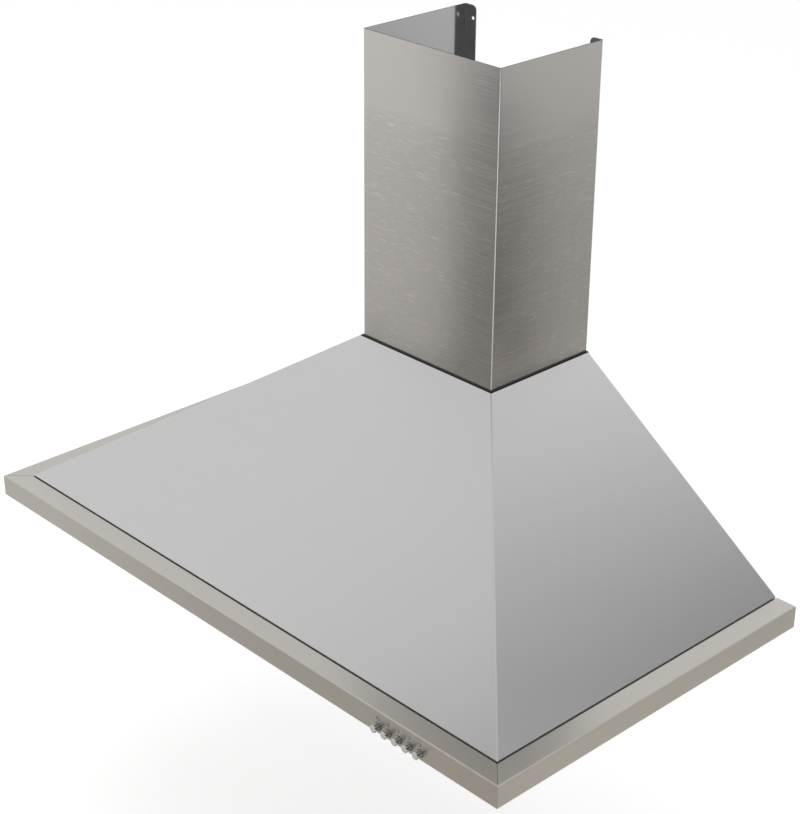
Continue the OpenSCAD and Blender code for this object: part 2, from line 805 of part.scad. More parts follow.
module scroll_case_left() color(grey_plastic) mirror([1, 0, 0]) scroll_half(false);

module scroll_case_right() color(grey_plastic) scroll_half(true);

module case_screws() color(zinc) seam_bolt_places()
    translate([-2.5, 0, 0]) rotate([0, 90, 0]) pan_screw(1.5, 6);

function blade_edge(shift) = [
    for (k = [0:4]) let(r = blade_r - blade_depth + blade_depth * k / 4, a = blade_lean * (k / 4) * (k / 4))
        r * [cos(a), sin(a)] + shift * [-sin(a + 20), cos(a + 20)]
];

module blade() polygon(concat(
    blade_edge(-blade_t / 2),
    [for (k = [4:-1:0]) blade_edge(blade_t / 2)[k]]
));

module ring_x(x, r_in, r_out, l) translate([x, 0, 0]) rotate([0, 90, 0]) difference() {
    cylinder(r = r_out, h = l);
    translate([0, 0, -1]) cylinder(r = r_in, h = l + 2);
}

inner_r = blade_r - blade_depth;
rim_r = blade_r + 0.3;
plate_x = -4 - plate_t;

// The blades stand between the end rings and pass close round the centre plate
module impeller_blades() color(zinc) translate([0, -shaft_y, shaft_z])
    along_x(-impeller_w / 2 + ring_t, impeller_w / 2 - ring_t)
        for (i = [0:blade_count - 1]) rotate(i * 360 / blade_count) blade();

module impeller_frame() color(zinc) translate([0, -shaft_y, shaft_z]) {
    both_sides() {
        ring_x(impeller_w / 2 - ring_t, inner_r + 1, rim_r + ring_t, ring_t);
        ring_x(impeller_w / 2 - ring_t - ring_rim, rim_r, rim_r + ring_t, ring_rim + eps);
    }
    ring_x(plate_x, shaft_r + 0.02, inner_r - blade_t / 2, plate_t);
    ring_x(plate_x - hub_l + eps, shaft_r + 0.02, shaft_r + hub_wall, hub_l);
}

motor_x = plate_x + plate_t + 8;
shaft_from = plate_x - hub_l;
shaft_to = motor_x + motor_l + 4;

module motor_shaft() color(chrome) rod_x(shaft_from, -shaft_y, shaft_z, shaft_r, shaft_to - shaft_from);

module motor_body() color(zinc) translate([0, -shaft_y, shaft_z]) difference() {
    union() {
        ring_x(motor_x, shaft_r + 1, motor_r - 4, motor_l);
        ring_x(motor_x + 8, shaft_r + 1, motor_r, motor_l - 8);
    }
    for (x = [motor_x - 1, motor_x + motor_l - bush_l]) rod_x(x, 0, 0, bush_r, bush_l + 1);
    for (a = [0:30:330]) rotate([a, 0, 0])
        block([motor_x + 14, -3, motor_r - 3], [motor_x + motor_l - 20, 3, motor_r + 1]);
}

module motor_bushes() color(bronze) translate([0, -shaft_y, shaft_z])
    for (x = [motor_x, motor_x + motor_l - bush_l]) ring_x(x, shaft_r + run_gap, bush_r - 0.02, bush_l);

module motor_bracket() color(zinc) translate([0, -shaft_y, shaft_z]) {
    foot_r = eye_r + 4;
    strap_from = motor_x + motor_l - 10;
    difference() {
        union() {
            ring_x(bracket_x, motor_r + 0.05, motor_r + 6, bracket_t);
            for (a = bracket_angles) rotate([a, 0, 0]) {
                block([bracket_x, motor_r + 3, -6], [bracket_x + bracket_t, bracket_r, 6]);
                rod_x(bracket_x, bracket_r, 0, foot_r, bracket_t);
            }
        }
        for (a = bracket_angles) rotate([a, 0, 0])
            rod_x(bracket_x - 1, bracket_r, 0, eye_r, bracket_t + 2);
    }
    ring_x(strap_from, motor_r + 0.05, motor_r + bracket_t, bracket_x + bracket_t - strap_from);
}

module motor_grommets() color(rubber) at_bracket_feet() {
    bore_r = motor_screw_r + screw_gap;
    for (x = [case_half + boss_h, bracket_x + bracket_t]) ring_x(x, bore_r, grommet_r, grommet_t);
    ring_x(bracket_x - eps, bore_r, eye_r - 0.05, bracket_t + 2 * eps);
}

module motor_screws() color(zinc) at_bracket_feet()
    translate([bracket_x + bracket_t + grommet_t, 0, 0])
        rotate([0, -90, 0]) pan_screw(motor_screw_r, boss_h + 2 * grommet_t + bracket_t);

// Outlet adapter: a round-cornered plenum on the deck, the duct collar and its two flaps

module rounded_rectangle(half, r) {
    square([2 * half, 2 * (half - r)], center = true);
    square([2 * (half - r), 2 * half], center = true);
    for (x = [-1, 1], y = [-1, 1]) translate([x * (half - r), y * (half - r)]) circle(r = r);
}

module outlet_adapter() color(black_plastic) difference() {
    union() {
        translate([0, -collar_y, deck_z]) linear_extrude(plenum_h) rounded_rectangle(adapter_half, plenum_r);
        translate([0, -collar_y, collar_z - eps]) cylinder(r = collar_r, h = collar_l + eps);
        both_sides() for (y = [flange_screw_front, flange_screw_rear])
            block([adapter_half - 3, -y - 7, deck_z], [foot_half, -y + 7, adapter_z]);
    }
    block([-duct_half, -duct_front, deck_z - 1], [duct_half, -duct_rear, adapter_z + eps]);
    translate([0, -collar_y, adapter_z]) linear_extrude(plenum_h - foot_t - collar_wall)
        rounded_rectangle(adapter_half - collar_wall, plenum_r - collar_wall);
    translate([0, -collar_y, collar_z - collar_wall - eps]) difference() {
        cylinder(r = collar_r - collar_wall, h = collar_l + 10);
        translate([0, 0, collar_wall + pin_rise - flap_t / 2 - 1.3]) flap_ledge();
    }
    for (s = [-1, 1]) rod_x(-far / 2, -collar_y + s * pin_offset, pin_z, pin_r + run_gap, far);
    both_sides() for (y = [flange_screw_front, flange_screw_rear])
        translate([flange_screw_x, -y, deck_z - 1]) cylinder(r = 2.25, h = foot_t + 2);
}

module flap_ledge() difference() {
    cylinder(r = collar_r, h = 1);
    translate([0, 0, -1]) cylinder(r = ledge_r, h = 3);
}

// One half-round flap on the side of +Y, with its hinge barrel
module flap() {
    r = collar_r - collar_wall - flap_gap;
    barrel_half = sqrt(ledge_r * ledge_r - pow(pin_offset + barrel_r, 2)) - 1;
    difference() {
        union() {
            intersection() {
                translate([0, 0, -flap_t / 2]) cylinder(r = r, h = flap_t);
                block([-r, pin_offset, -flap_t], [r, r, flap_t]);
            }
            rod_x(-barrel_half, pin_offset, 0, barrel_r, 2 * barrel_half);
        }
        rod_x(-far / 2, pin_offset, 0, pin_r + run_gap, far);
    }
}

module flap_rear() color(alloy) translate([0, -collar_y, pin_z]) flap();

module flap_front() color(alloy) translate([0, -collar_y, pin_z]) mirror([0, 1, 0]) flap();

module flap_pins() color(chrome) translate([0, -collar_y, pin_z]) for (s = [-1, 1]) {
    half = sqrt(collar_r * collar_r - pin_offset * pin_offset) - 0.3;
    rod_x(-half, s * pin_offset, 0, pin_r, 2 * half);
}

module blower_screws() color(zinc) both_sides() for (y = [flange_screw_front, flange_screw_rear])
    translate([flange_screw_x, -y, adapter_z])
        rotate([180, 0, 0]) pan_screw(2, foot_t + sheet + case_flange_t + 3);

// Electrics

module terminal_box() color(white_plastic) {
    x = -box_x - box_w / 2;
    difference() {
        block([x, -sheet - box_d, box_z], [x + box_w, -sheet, box_z + box_h]);
        block(
            [x + box_wall, -sheet - box_d - 1, box_z + box_wall],
            [x + box_w - box_wall, -sheet - box_wall, box_z + box_h - box_wall]
        );
        rod_x(x + box_w - box_wall - 1, -sheet - box_d / 2, box_z + box_h / 2, 5, box_wall + 2);
    }
    for (s = [0, 1]) difference() {
        rod_y(x + 7 + s * (box_w - 14), -sheet - box_d, box_z + box_h - 7, 4, box_d - box_wall + eps);
        rod_y(x + 7 + s * (box_w - 14), -sheet - box_d - 1, box_z + box_h - 7, 1.6, 12);
    }
}

module terminal_box_lid() color(white_plastic) {
    x = -box_x - box_w / 2;
    difference() {
        block([x, -sheet - box_d - box_wall, box_z], [x + box_w, -sheet - box_d, box_z + box_h]);
        for (s = [0, 1]) translate([x + 7 + s * (box_w - 14), 0, box_z + box_h - 7])
            rod_y(0, -sheet - box_d - box_wall - 1, 0, 1.8, box_wall + 2);
    }
}

module terminal_box_screws() color(zinc) for (s = [0, 1])
    translate([-box_x - box_w / 2 + 7 + s * (box_w - 14), -sheet - box_d - box_wall, box_z + box_h - 7])
        rotate([-90, 0, 0]) pan_screw(1.5, 9);

module terminal_block() color(white_plastic) {
    pole = 9;
    poles = 7;
    x = -box_x - poles * pole / 2;
    y = -sheet - box_wall;
    z = box_z + 14;
    difference() {
        block([x, y - 13, z], [x + poles * pole, y, z + 20]);
        for (i = [0:poles - 1]) translate([x + (i + 0.5) * pole, y - 13, z]) {
            for (h = [5, 15]) rod_y(0, -1, h, 2.2, 7);
            translate([0, 7, -1]) cylinder(r = 2, h = 22);
        }
        for (i = [1:poles - 1]) translate([x + i * pole, y, z])
            block([-0.5, -14, -1], [0.5, -10, 21]);
    }
}

module capacitor() color(white_plastic) translate([capacitor_x, -sheet - capacitor_r - 1, box_z]) {
    cylinder(r = capacitor_r, h = capacitor_l);
    for (x = [-5, 5]) translate([x - 0.4, -3, capacitor_l - eps]) cube([0.8, 6, 9]);
}

module capacitor_clip() color(zinc)
    translate([capacitor_x, -sheet - capacitor_r - 1, box_z + capacitor_l / 2 - 7]) {
    r = capacitor_r + 0.05;
    difference() {
        cylinder(r = r + 0.9, h = 14);
        translate([0, 0, -1]) cylinder(r = r, h = 16);
    }
    both_sides() block([capacitor_r + 0.4, capacitor_r, 0], [capacitor_r + 12, capacitor_r + 1, 14]);
    both_sides() block([capacitor_r + 0.4, 0, 0], [capacitor_r + 1.2, capacitor_r + 1, 14]);
}

module mains_gland() color(black_plastic) translate([-gland_x, -gland_y, deck_z]) difference() {
    union() {
        cylinder(r = gland_bore_r + 5, h = 4);
        translate([0, 0, 4 - eps]) cylinder(r1 = gland_bore_r + 4, r2 = gland_bore_r + 2.5, h = 8);
        translate([0, 0, -sheet - 8]) cylinder(r = gland_bore_r + 3.8, h = 8 + sheet + eps);
        translate([0, 0, -sheet - 4.5]) cylinder(r = gland_bore_r + 7, h = 4.5, $fn = 6);
    }
    translate([0, 0, -far / 2]) cylinder(r = gland_bore_r, h = far);
}

// Buttons and their switch block

module switch_block() color(black_plastic) {
    from = button_x(0) - button_pitch / 2 - 2;
    to = button_x(4) + button_pitch / 2 + 2;
    top = button_z + 7;
    difference() {
        union() {
            block([from, -block_front, sheet], [to, -block_back, top]);
            for (x = [from, to - 4])
                block([x, -fascia_in, sheet + fold_r + 0.2], [x + 4, -block_front + eps, top]);
        }
        for (i = [0:4]) translate([button_x(i), -block_front - 1, button_z])
            rod_y(0, 0, 0, stem_d / 2 + run_gap, stem_in + button_travel + 1.5);
    }
    for (i = [0:4]) translate([button_x(i), -block_back - 0.4, button_z + 3]) {
        block([-4, -eps, -2], [-3.2, 1.9, 2]);
        block([3.2, -eps, -2], [4, 1.9, 2]);
    }
}

module button(i) color(chrome) {
    r = button_d / 2;
    edge = 0.8;
    head = button_out + sheet + head_in;
    translate([button_x(i), -hood_d - button_out, button_z]) rotate([-90, 0, 0]) rotate_extrude()
        polygon(concat(
            [[0, 0]],
            [for (a = [0:15:90]) [r - edge + edge * sin(a), edge - edge * cos(a)]],
            [[r, head], [0, head]]
        ));
    rod_y(button_x(i), -hood_d + sheet + head_in - eps, button_z, stem_d / 2, button_travel + 0.7 + stem_in);
}

// Lamps

module at_lamp(side) translate([side * lamp_x, -foot_y + lamp_back, recess]) children();

module lamp_housing(side) color(zinc) at_lamp(side) difference() {
    union() {
        cylinder(r = lamp_r, h = lamp_h);
        translate([0, 0, -1]) cylinder(r = bezel_r - 1.5, h = 1);
    }
    translate([0, 0, -2]) cylinder(r = lamp_r - 1.5, h = lamp_h - 6);
    translate([0, 0, lamp_h - 9]) cylinder(r = 6, h = 5);
    for (a = [0:45:315]) rotate(a) translate([lamp_r * 0.6, 0, lamp_h - 9]) cylinder(r = 2, h = 12);
}

module lamp_bezel(side) color(chrome) at_lamp(side) translate([0, 0, -1 - bezel_t])
    rotate_extrude() polygon([
        [lamp_r - 4, 0.5], [lamp_r - 3.5, 0], [bezel_r - 1, 0],
        [bezel_r, 1], [bezel_r, bezel_t], [lamp_r - 4, bezel_t]
    ]);

module lamp_lens(side) color(clear_glass) at_lamp(side)
    translate([0, 0, -1]) cylinder(r = lamp_r - 1.8, h = lens_t);

module lamp_bulb(side) color(clear_glass) at_lamp(side) {
    low = lens_t + 3;
    rotate_extrude() polygon(concat(
        [for (a = [0:15:90]) [bulb_r * sin(a), low + bulb_r * (1 - cos(a))]],
        [[bulb_r, lamp_h - 4.3], [0, lamp_h - 4.3]]
    ));
}

fascia_frame();
canopy_shell();
top_deck();
back_panel();
chimney_cover();
chimney_screws();
bottom_panel();
bottom_panel_screws();
in_bay(0) filter_frame();  // filter_frame_left
in_bay(1) filter_frame();  // filter_frame_centre
in_bay(2) filter_frame();  // filter_frame_right
in_bay(0) filter_pad();  // filter_pad_left
in_bay(1) filter_pad();  // filter_pad_centre
in_bay(2) filter_pad();  // filter_pad_right
in_bay(0) filter_mesh();  // filter_mesh_left
in_bay(1) filter_mesh();  // filter_mesh_centre
in_bay(2) filter_mesh();  // filter_mesh_right
in_bay(0) latch_cup();  // latch_cup_left
in_bay(1) latch_cup();  // latch_cup_centre
in_bay(2) latch_cup();  // latch_cup_right
in_bay(0) latch_slider();  // latch_slider_left
in_bay(1) latch_slider();  // latch_slider_centre
in_bay(2) latch_slider();  // latch_slider_right
scroll_case_left();
scroll_case_right();
case_screws();
impeller_blades();
impeller_frame();
motor_shaft();
motor_body();
motor_bushes();
motor_bracket();
motor_grommets();
motor_screws();
outlet_adapter();
flap_front();
flap_rear();
flap_pins();
blower_screws();
capacitor();
capacitor_clip();
terminal_box();
terminal_box_lid();
terminal_box_screws();
terminal_block();
mains_gland();
switch_block();
button(0);  // button_lamp
button(1);  // button_off
button(2);  // button_low
button(3);  // button_middle
button(4);  // button_high
lamp_housing(-1);  // lamp_housing_left
lamp_housing(1);  // lamp_housing_right
lamp_bezel(-1);  // lamp_bezel_left
lamp_bezel(1);  // lamp_bezel_right
lamp_lens(-1);  // lamp_lens_left
lamp_lens(1);  // lamp_lens_right
lamp_bulb(-1);  // lamp_bulb_left
lamp_bulb(1);  // lamp_bulb_right
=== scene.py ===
"""Looks of a wall-mounted canopy range hood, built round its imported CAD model.

Metres throughout, in the frame of the CAD: X to the right along the wall, Y into the wall, Z up,
origin on the wall plane in the middle of the bottom edge.
"""

import bpy
import numpy as np
from bpy.props import FloatProperty, FloatVectorProperty, PointerProperty
from mathutils import Matrix, Vector


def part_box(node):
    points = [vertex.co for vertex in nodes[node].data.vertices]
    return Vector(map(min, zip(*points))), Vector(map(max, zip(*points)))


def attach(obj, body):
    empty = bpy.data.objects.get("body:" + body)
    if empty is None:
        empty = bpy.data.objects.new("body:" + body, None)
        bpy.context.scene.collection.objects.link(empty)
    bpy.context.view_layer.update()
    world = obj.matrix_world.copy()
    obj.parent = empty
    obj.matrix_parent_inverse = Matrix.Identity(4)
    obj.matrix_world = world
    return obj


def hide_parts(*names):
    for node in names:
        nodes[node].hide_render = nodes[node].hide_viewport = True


bl_info = {
    "name": "Canopy range hood",
    "version": (1, 0, 0),
    "blender": (4, 5, 0),
    "location": "View3D > Sidebar > Range hood",
    "description": "Dresses the CAD model of a canopy range hood in steel, aluminium and glass",
    "category": "Object",
}

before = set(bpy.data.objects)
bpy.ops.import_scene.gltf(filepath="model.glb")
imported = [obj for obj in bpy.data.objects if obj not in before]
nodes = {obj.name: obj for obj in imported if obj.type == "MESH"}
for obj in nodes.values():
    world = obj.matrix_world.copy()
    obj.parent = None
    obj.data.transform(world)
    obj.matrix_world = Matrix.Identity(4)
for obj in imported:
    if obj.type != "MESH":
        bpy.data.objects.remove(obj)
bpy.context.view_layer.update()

BAYS = ("left", "centre", "right")
BUTTONS = ("lamp", "off", "low", "middle", "high")
SIDES = ("left", "right")


def linear(code):
    """Linear red, green and blue of an sRGB hex code. A part c becomes c / 12.92 up to 0.04045, and
    ((c + 0.055) / 1.055) to the power 2.4 above it."""
    parts = [int(code[i:i + 2], 16) / 255 for i in (1, 3, 5)]
    return tuple(c / 12.92 if c <= 0.04045 else ((c + 0.055) / 1.055) ** 2.4 for c in parts)


# Sizes and colours that a user would change


def steel_colour(name, code, description):
    """A colour setting with its default as a hex code."""
    return FloatVectorProperty(
        name=name, description=description, subtype="COLOR", size=3, min=0, max=1,
        default=linear(code),
    )


class HoodColours(bpy.types.PropertyGroup):
    canopy: steel_colour("Canopy steel", "#C6C5C5", "Satin stainless of the canopy")
    rail: steel_colour("Fascia steel", "#BDBAB4", "Brushed stainless of the fascia and its ledge")
    chimney: steel_colour("Chimney steel", "#BAB7B3", "Brushed stainless of the chimney cover")
    panel: steel_colour("Panel steel", "#BDBBB7", "Satin stainless of the bottom panel")
    mark: steel_colour("Marks", "#494643", "Printed marks above the buttons")


class HoodSizes(bpy.types.PropertyGroup):
    mark_height: FloatProperty(
        name="Mark height", description="Height of the numbers above the buttons",
        subtype="DISTANCE", unit="LENGTH", default=0.0046, min=0.002, max=0.008,
    )
    mark_stroke: FloatProperty(
        name="Mark stroke", description="Width of the strokes of the marks",
        subtype="DISTANCE", unit="LENGTH", default=0.0008, min=0.0002, max=0.0015,
    )
    mark_rise: FloatProperty(
        name="Mark height above button",
        description="From the middle of a button to the middle of its mark",
        subtype="DISTANCE", unit="LENGTH", default=0.0102, min=0.007, max=0.014,
    )
    cell_length: FloatProperty(
        name="Mesh cell length", description="Long way of a cell of the filters' expanded metal",
        subtype="DISTANCE", unit="LENGTH", default=0.014, min=0.008, max=0.03,
    )
    cell_width: FloatProperty(
        name="Mesh cell width", description="Short way of a cell of the filters' expanded metal",
        subtype="DISTANCE", unit="LENGTH", default=0.007, min=0.004, max=0.015,
    )
    ridge_pitch: FloatProperty(
        name="Lens ridge pitch", description="Distance between the pressed rings of a lamp lens",
        subtype="DISTANCE", unit="LENGTH", default=0.002, min=0.001, max=0.005,
    )


class HoodStudio(bpy.types.PropertyGroup):
    floor_drop: FloatProperty(
        name="Floor depth", description="Depth of the floor below the rim of the hood",
        subtype="DISTANCE", unit="LENGTH", default=0.5, min=0.3, max=2,
    )
    key_power: FloatProperty(
        name="Key light", description="Power of the soft light overhead",
        subtype="POWER", unit="POWER", default=18, min=0, max=500,
    )
    fill_power: FloatProperty(
        name="Fill light", description="Power of the soft light at the front",
        subtype="POWER", unit="POWER", default=5, min=0, max=500,
    )
    sky: FloatProperty(
        name="Sky level", description="Level of the even light from all round",
        default=0.55, min=0, max=1,
    )


# Meshes


def corners(node):
    """The lowest and the highest corner of a CAD node."""
    low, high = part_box(node)
    return np.array(low), np.array(high)


def piece(name, verts, faces, material, body):
    """Makes a mesh object from an array of points and a list of faces, and gives it its material
    and its body."""
    mesh = bpy.data.meshes.new(name)
    mesh.from_pydata(verts.tolist(), [], faces)
    mesh.update()
    made = bpy.data.objects.new(name, mesh)
    bpy.context.scene.collection.objects.link(made)
    made.data.materials.append(material)
    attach(made, body)
    return made


def joined(parts):
    """Joins pairs of points and faces into one pair, with each pair's faces counted on."""
    starts = np.cumsum([0] + [len(points) for points, faces in parts[:-1]])
    return (
        np.vstack([points for points, faces in parts]),
        np.vstack([faces + start for (points, faces), start in zip(parts, starts)]),
    )


def grid_faces(rows, columns, closed_rows=False, closed_columns=False):
    """Quads of a grid of points: point (i, j) is number i * columns + j, and a closed direction
    wraps round."""
    i = np.arange(rows if closed_rows else rows - 1)[:, None]
    j = np.arange(columns if closed_columns else columns - 1)[None, :]
    i2, j2 = (i + 1) % rows, (j + 1) % columns
    here, next_row = i * columns, i2 * columns
    return np.stack([here + j, here + j2, next_row + j2, next_row + j], -1).reshape(-1, 4)


def revolved(profile, centre, steps):
    """Surface of revolution about a vertical line: (radius r, height h) goes to
    (r cos t, r sin t, h)."""
    r, h = np.asarray(profile, float).T
    t = np.linspace(0, 2 * np.pi, steps, endpoint=False)
    points = np.stack(
        [np.outer(np.cos(t), r), np.outer(np.sin(t), r), np.tile(h, (steps, 1))], -1
    ) + np.asarray(centre)
    return points.reshape(-1, 3), grid_faces(steps, len(r), closed_rows=True)


def stroke(path, width, rise, closed):
    """A flat strip carried along a path in the plane of the fascia. At each point the unit normal
    n of the path gives the edges p + n w/2 and p - n w/2, on the sheet and one rise in front."""
    path = np.asarray(path, float)
    if closed:
        along = np.roll(path, -1, 0) - np.roll(path, 1, 0)
    else:
        along = np.gradient(path, axis=0)
    along /= np.linalg.norm(along, axis=1)[:, None]
    across = np.stack([-along[:, 1], along[:, 0]], 1) * width / 2
    left, right = path + across, path - across
    front, back = np.full(len(path), -rise), np.zeros(len(path))
    rings = np.stack([
        np.stack([edge[:, 0], depth, edge[:, 1]], 1)
        for edge, depth in ((left, back), (left, front), (right, front), (right, back))
    ], 1)
    faces = grid_faces(len(path), 4, closed_rows=closed, closed_columns=True)
    if not closed:
        last = 4 * (len(path) - 1)
        faces = np.vstack([faces, [[3, 2, 1, 0]], [[last, last + 1, last + 2, last + 3]]])
    return rings.reshape(-1, 3), faces


# Materials


def plug(tree, node, sockets):
    """Fills a node's sockets. Each gets its value, or a link from the socket, or from the first
    output of the node, that is given for it."""
    for name, value in sockets.items():
        if isinstance(value, bpy.types.Node):
            value = next(output for output in value.outputs if output.enabled)
        if isinstance(value, bpy.types.NodeSocket):
            tree.links.new(value, node.inputs[name])
        else:
            node.inputs[name].default_value = value


def add(tree, kind, sockets=None, **settings):
    """Adds one node with its settings and its sockets' values and links."""
    made = tree.nodes.new(kind)
    for name, value in settings.items():
        setattr(made, name, value)
    plug(tree, made, sockets or {})
    return made


def new_material(name, colour, roughness, **sockets):
    """A material of one Principled surface, with its even values on the shader's own sockets."""
    material = bpy.data.materials.new(name)
    material.use_nodes = True
    tree = material.node_tree
    shader = tree.nodes["Principled BSDF"]
    plug(tree, shader, {"Base Color": (*colour, 1), "Roughness": roughness})
    plug(tree, shader, {key.replace("_", " "): value for key, value in sockets.items()})
    return material, tree, shader


def shaded(colour, share):
    """The colour times a share, no brighter than white, with its alpha."""
    return (*[min(1, part * share) for part in colour], 1)


def piece_axes(tree):
    """X, Y and Z of the place on the piece, in metres."""
    place = add(tree, "ShaderNodeTexCoord").outputs["Object"]
    return add(tree, "ShaderNodeSeparateXYZ", {"Vector": place}).outputs


def stretched_noise(tree, scale, detail=2.0, roughness=0.5):
    """Noise on object coordinates, in waves per metre: one scale for all ways, or one per axis."""
    place = add(tree, "ShaderNodeTexCoord").outputs["Object"]
    scales = scale if isinstance(scale, tuple) else (scale,) * 3
    stretch = add(tree, "ShaderNodeMapping", {"Vector": place, "Scale": scales})
    return add(tree, "ShaderNodeTexNoise", {
        "Vector": stretch, "Scale": 1.0, "Detail": detail, "Roughness": roughness,
    })


def finish(name, colour, roughness, mottle, gloss=None, relief=None, **sockets):
    """A surface whose colour, roughness and relief each follow a noise on the piece, and share it
    where their scale and detail are the same. mottle is (scale, detail, dark, light): the colour
    runs from itself times dark to itself times light. gloss is (scale, detail, low, high, clear,
    dull): the roughness runs from clear to dull while the noise runs from low to high. relief is
    (scale, detail, depth, strength), with the real depth in metres."""
    material, tree, shader = new_material(name, colour, roughness, **sockets)
    noises = {}
    for part in filter(None, (mottle, gloss, relief)):
        if part[:2] not in noises:
            noises[part[:2]] = stretched_noise(tree, *part[:2])
    dark, light = mottle[2:]
    looks = {"Base Color": add(tree, "ShaderNodeMix", {
        "Factor": noises[mottle[:2]], "A": shaded(colour, dark), "B": shaded(colour, light),
    }, data_type="RGBA", clamp_factor=False)}
    if gloss:
        low, high, clear, dull = gloss[2:]
        looks["Roughness"] = add(tree, "ShaderNodeMapRange", {
            "Value": noises[gloss[:2]], "From Min": low, "From Max": high,
            "To Min": clear, "To Max": dull,
        })
    if relief:
        depth, strength = relief[2:]
        looks["Normal"] = add(tree, "ShaderNodeBump", {
            "Height": noises[relief[:2]], "Strength": strength, "Distance": depth,
        })
    plug(tree, shader, looks)
    return material


FOLD_RADIUS = 0.00035
WAVE_SCALE, WAVE_DEPTH = (14, 14, 130), 0.00006
# Values of its noise at which a scuff begins to show, and shows in full
SCUFF_EDGE, SCUFF_CORE = 0.63, 0.675
# Waves per metre of the handled patches, and the two ends of lines and patches added together
PATCH_SCALE, WEAR_LOW, WEAR_HIGH = 5, 0.7, 1.3
# How far a streak of 1 moves the colour, as a share of it, and the roughness
DARKER, LIGHTER, CLEARER, DULLER = 0.14, 0.11, 0.08, 0.1


def brushed(name, colour, roughness, grain, scuffs, anisotropy, streak, scuffed=0.35):
    """Brushed sheet: long even scratches one way, short brighter scuffs over them, cloudier and
    clearer patches left by handling, a faint waviness of the sheet, and rounded folds that catch
    the light. grain and scuffs are waves per metre along X, Y and Z, streak is how strongly both
    show, and scuffed how strongly the scuffs do. The grain runs level: along the cross product of
    the upright and the sheet's normal."""
    material, tree, shader = new_material(
        name, colour, roughness, Metallic=1.0, Anisotropic=anisotropy, Anisotropic_Rotation=0.25
    )
    lines = stretched_noise(tree, grain, detail=3.0, roughness=0.65)
    marks = add(tree, "ShaderNodeMapRange", {
        "Value": stretched_noise(tree, scuffs, detail=1.0),
        "From Min": SCUFF_EDGE, "From Max": SCUFF_CORE,
    })
    tone = add(tree, "ShaderNodeMath", {0: marks, 1: scuffed, 2: lines}, operation="MULTIPLY_ADD")
    steel = add(tree, "ShaderNodeMix", {
        "Factor": tone,
        "A": shaded(colour, 1 - DARKER * streak), "B": shaded(colour, 1 + LIGHTER * streak),
    }, data_type="RGBA", clamp_factor=False)
    patches = stretched_noise(tree, PATCH_SCALE)
    worn = add(tree, "ShaderNodeMath", {0: lines, 1: patches}, operation="ADD")
    gloss = add(tree, "ShaderNodeMapRange", {
        "Value": worn, "From Min": WEAR_LOW, "From Max": WEAR_HIGH,
        "To Min": roughness - CLEARER * streak, "To Max": roughness + DULLER * streak,
    })
    folds = add(tree, "ShaderNodeBevel", {"Radius": FOLD_RADIUS}, samples=4)
    waves = add(tree, "ShaderNodeBump", {
        "Height": stretched_noise(tree, WAVE_SCALE, detail=3.0),
        "Strength": streak ** 2, "Distance": WAVE_DEPTH, "Normal": folds,
    })
    normal = add(tree, "ShaderNodeNewGeometry").outputs["True Normal"]
    level = add(tree, "ShaderNodeVectorMath", {
        0: (0, 0, 1), 1: normal,
    }, operation="CROSS_PRODUCT")
    plug(tree, shader, {"Base Color": steel, "Roughness": gloss, "Normal": waves, "Tangent": level})
    return material, tree, shader


def coat(names, material):
    """Gives CAD nodes one material."""
    for name in names:
        data = nodes[name].data
        data.materials.clear()
        data.materials.append(material)


# Grain is drawn about 1 mm wide, because the real 0.1 mm would not show in the render. Its lines
# run on for about 140 mm.
GRAIN = 900
RUN = 7


def canopy_steel(colour):
    # Stainless sheet, satin brushed along its width: soft broad reflections, a fine level streak
    return brushed(
        "Satin_stainless_canopy", colour, 0.295, (RUN, RUN, GRAIN), (22, 22, 500), 0.5, 0.13
    )[0]


def chimney_steel(colour):
    """Stainless sheet, brushed level round the cover: reflections smear up and down and keep
    upright edges. The top quarter is smooth and a little brighter, with a ragged level edge. The
    inside, which is all that lies deeper than half the sheet, keeps the mill's greyer finish."""
    material, tree, shader = brushed(
        "Brushed_stainless_chimney", colour, 0.15, (RUN, RUN, GRAIN), (55, 55, 750), 0.85, 0.6, 1.15
    )
    low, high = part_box("chimney_cover")
    half_sheet = 0.0004
    edge_low, edge_high, edge_waver = 0.555, 0.575, 0.05
    top_share = 1.06
    axes = piece_axes(tree)
    ragged = add(tree, "ShaderNodeMath", {
        0: stretched_noise(tree, (12, 12, 70), detail=4.0), 1: edge_waver, 2: axes["Z"],
    }, operation="MULTIPLY_ADD")
    above = add(tree, "ShaderNodeMapRange", {
        "Value": ragged, "From Min": edge_low, "From Max": edge_high,
    })
    handled = shader.inputs["Base Color"].links[0].from_socket
    clean = add(tree, "ShaderNodeMix", {
        "Factor": above, "A": handled, "B": shaded(colour, top_share),
    }, data_type="RGBA")
    aside = add(tree, "ShaderNodeMath", {0: axes["X"]}, operation="ABSOLUTE")
    between = add(tree, "ShaderNodeMath", {
        0: aside, 1: high[0] - half_sheet,
    }, operation="LESS_THAN")
    behind = add(tree, "ShaderNodeMath", {
        0: axes["Y"], 1: low[1] + half_sheet,
    }, operation="GREATER_THAN")
    inside = add(tree, "ShaderNodeMath", {0: between, 1: behind}, operation="MULTIPLY")
    both = add(tree, "ShaderNodeMix", {
        "Factor": inside, "A": clean, "B": (*linear("#BFBFC0"), 1),
    }, data_type="RGBA")
    plug(tree, shader, {"Base Color": both})
    return material


def panel_steel(colour):
    # Stainless sheet, brushed along X, seen from below
    return brushed(
        "Satin_stainless_panel", colour, 0.32, (RUN, GRAIN, 200), (22, 500, 22), 0.0, 0.5
    )[0]


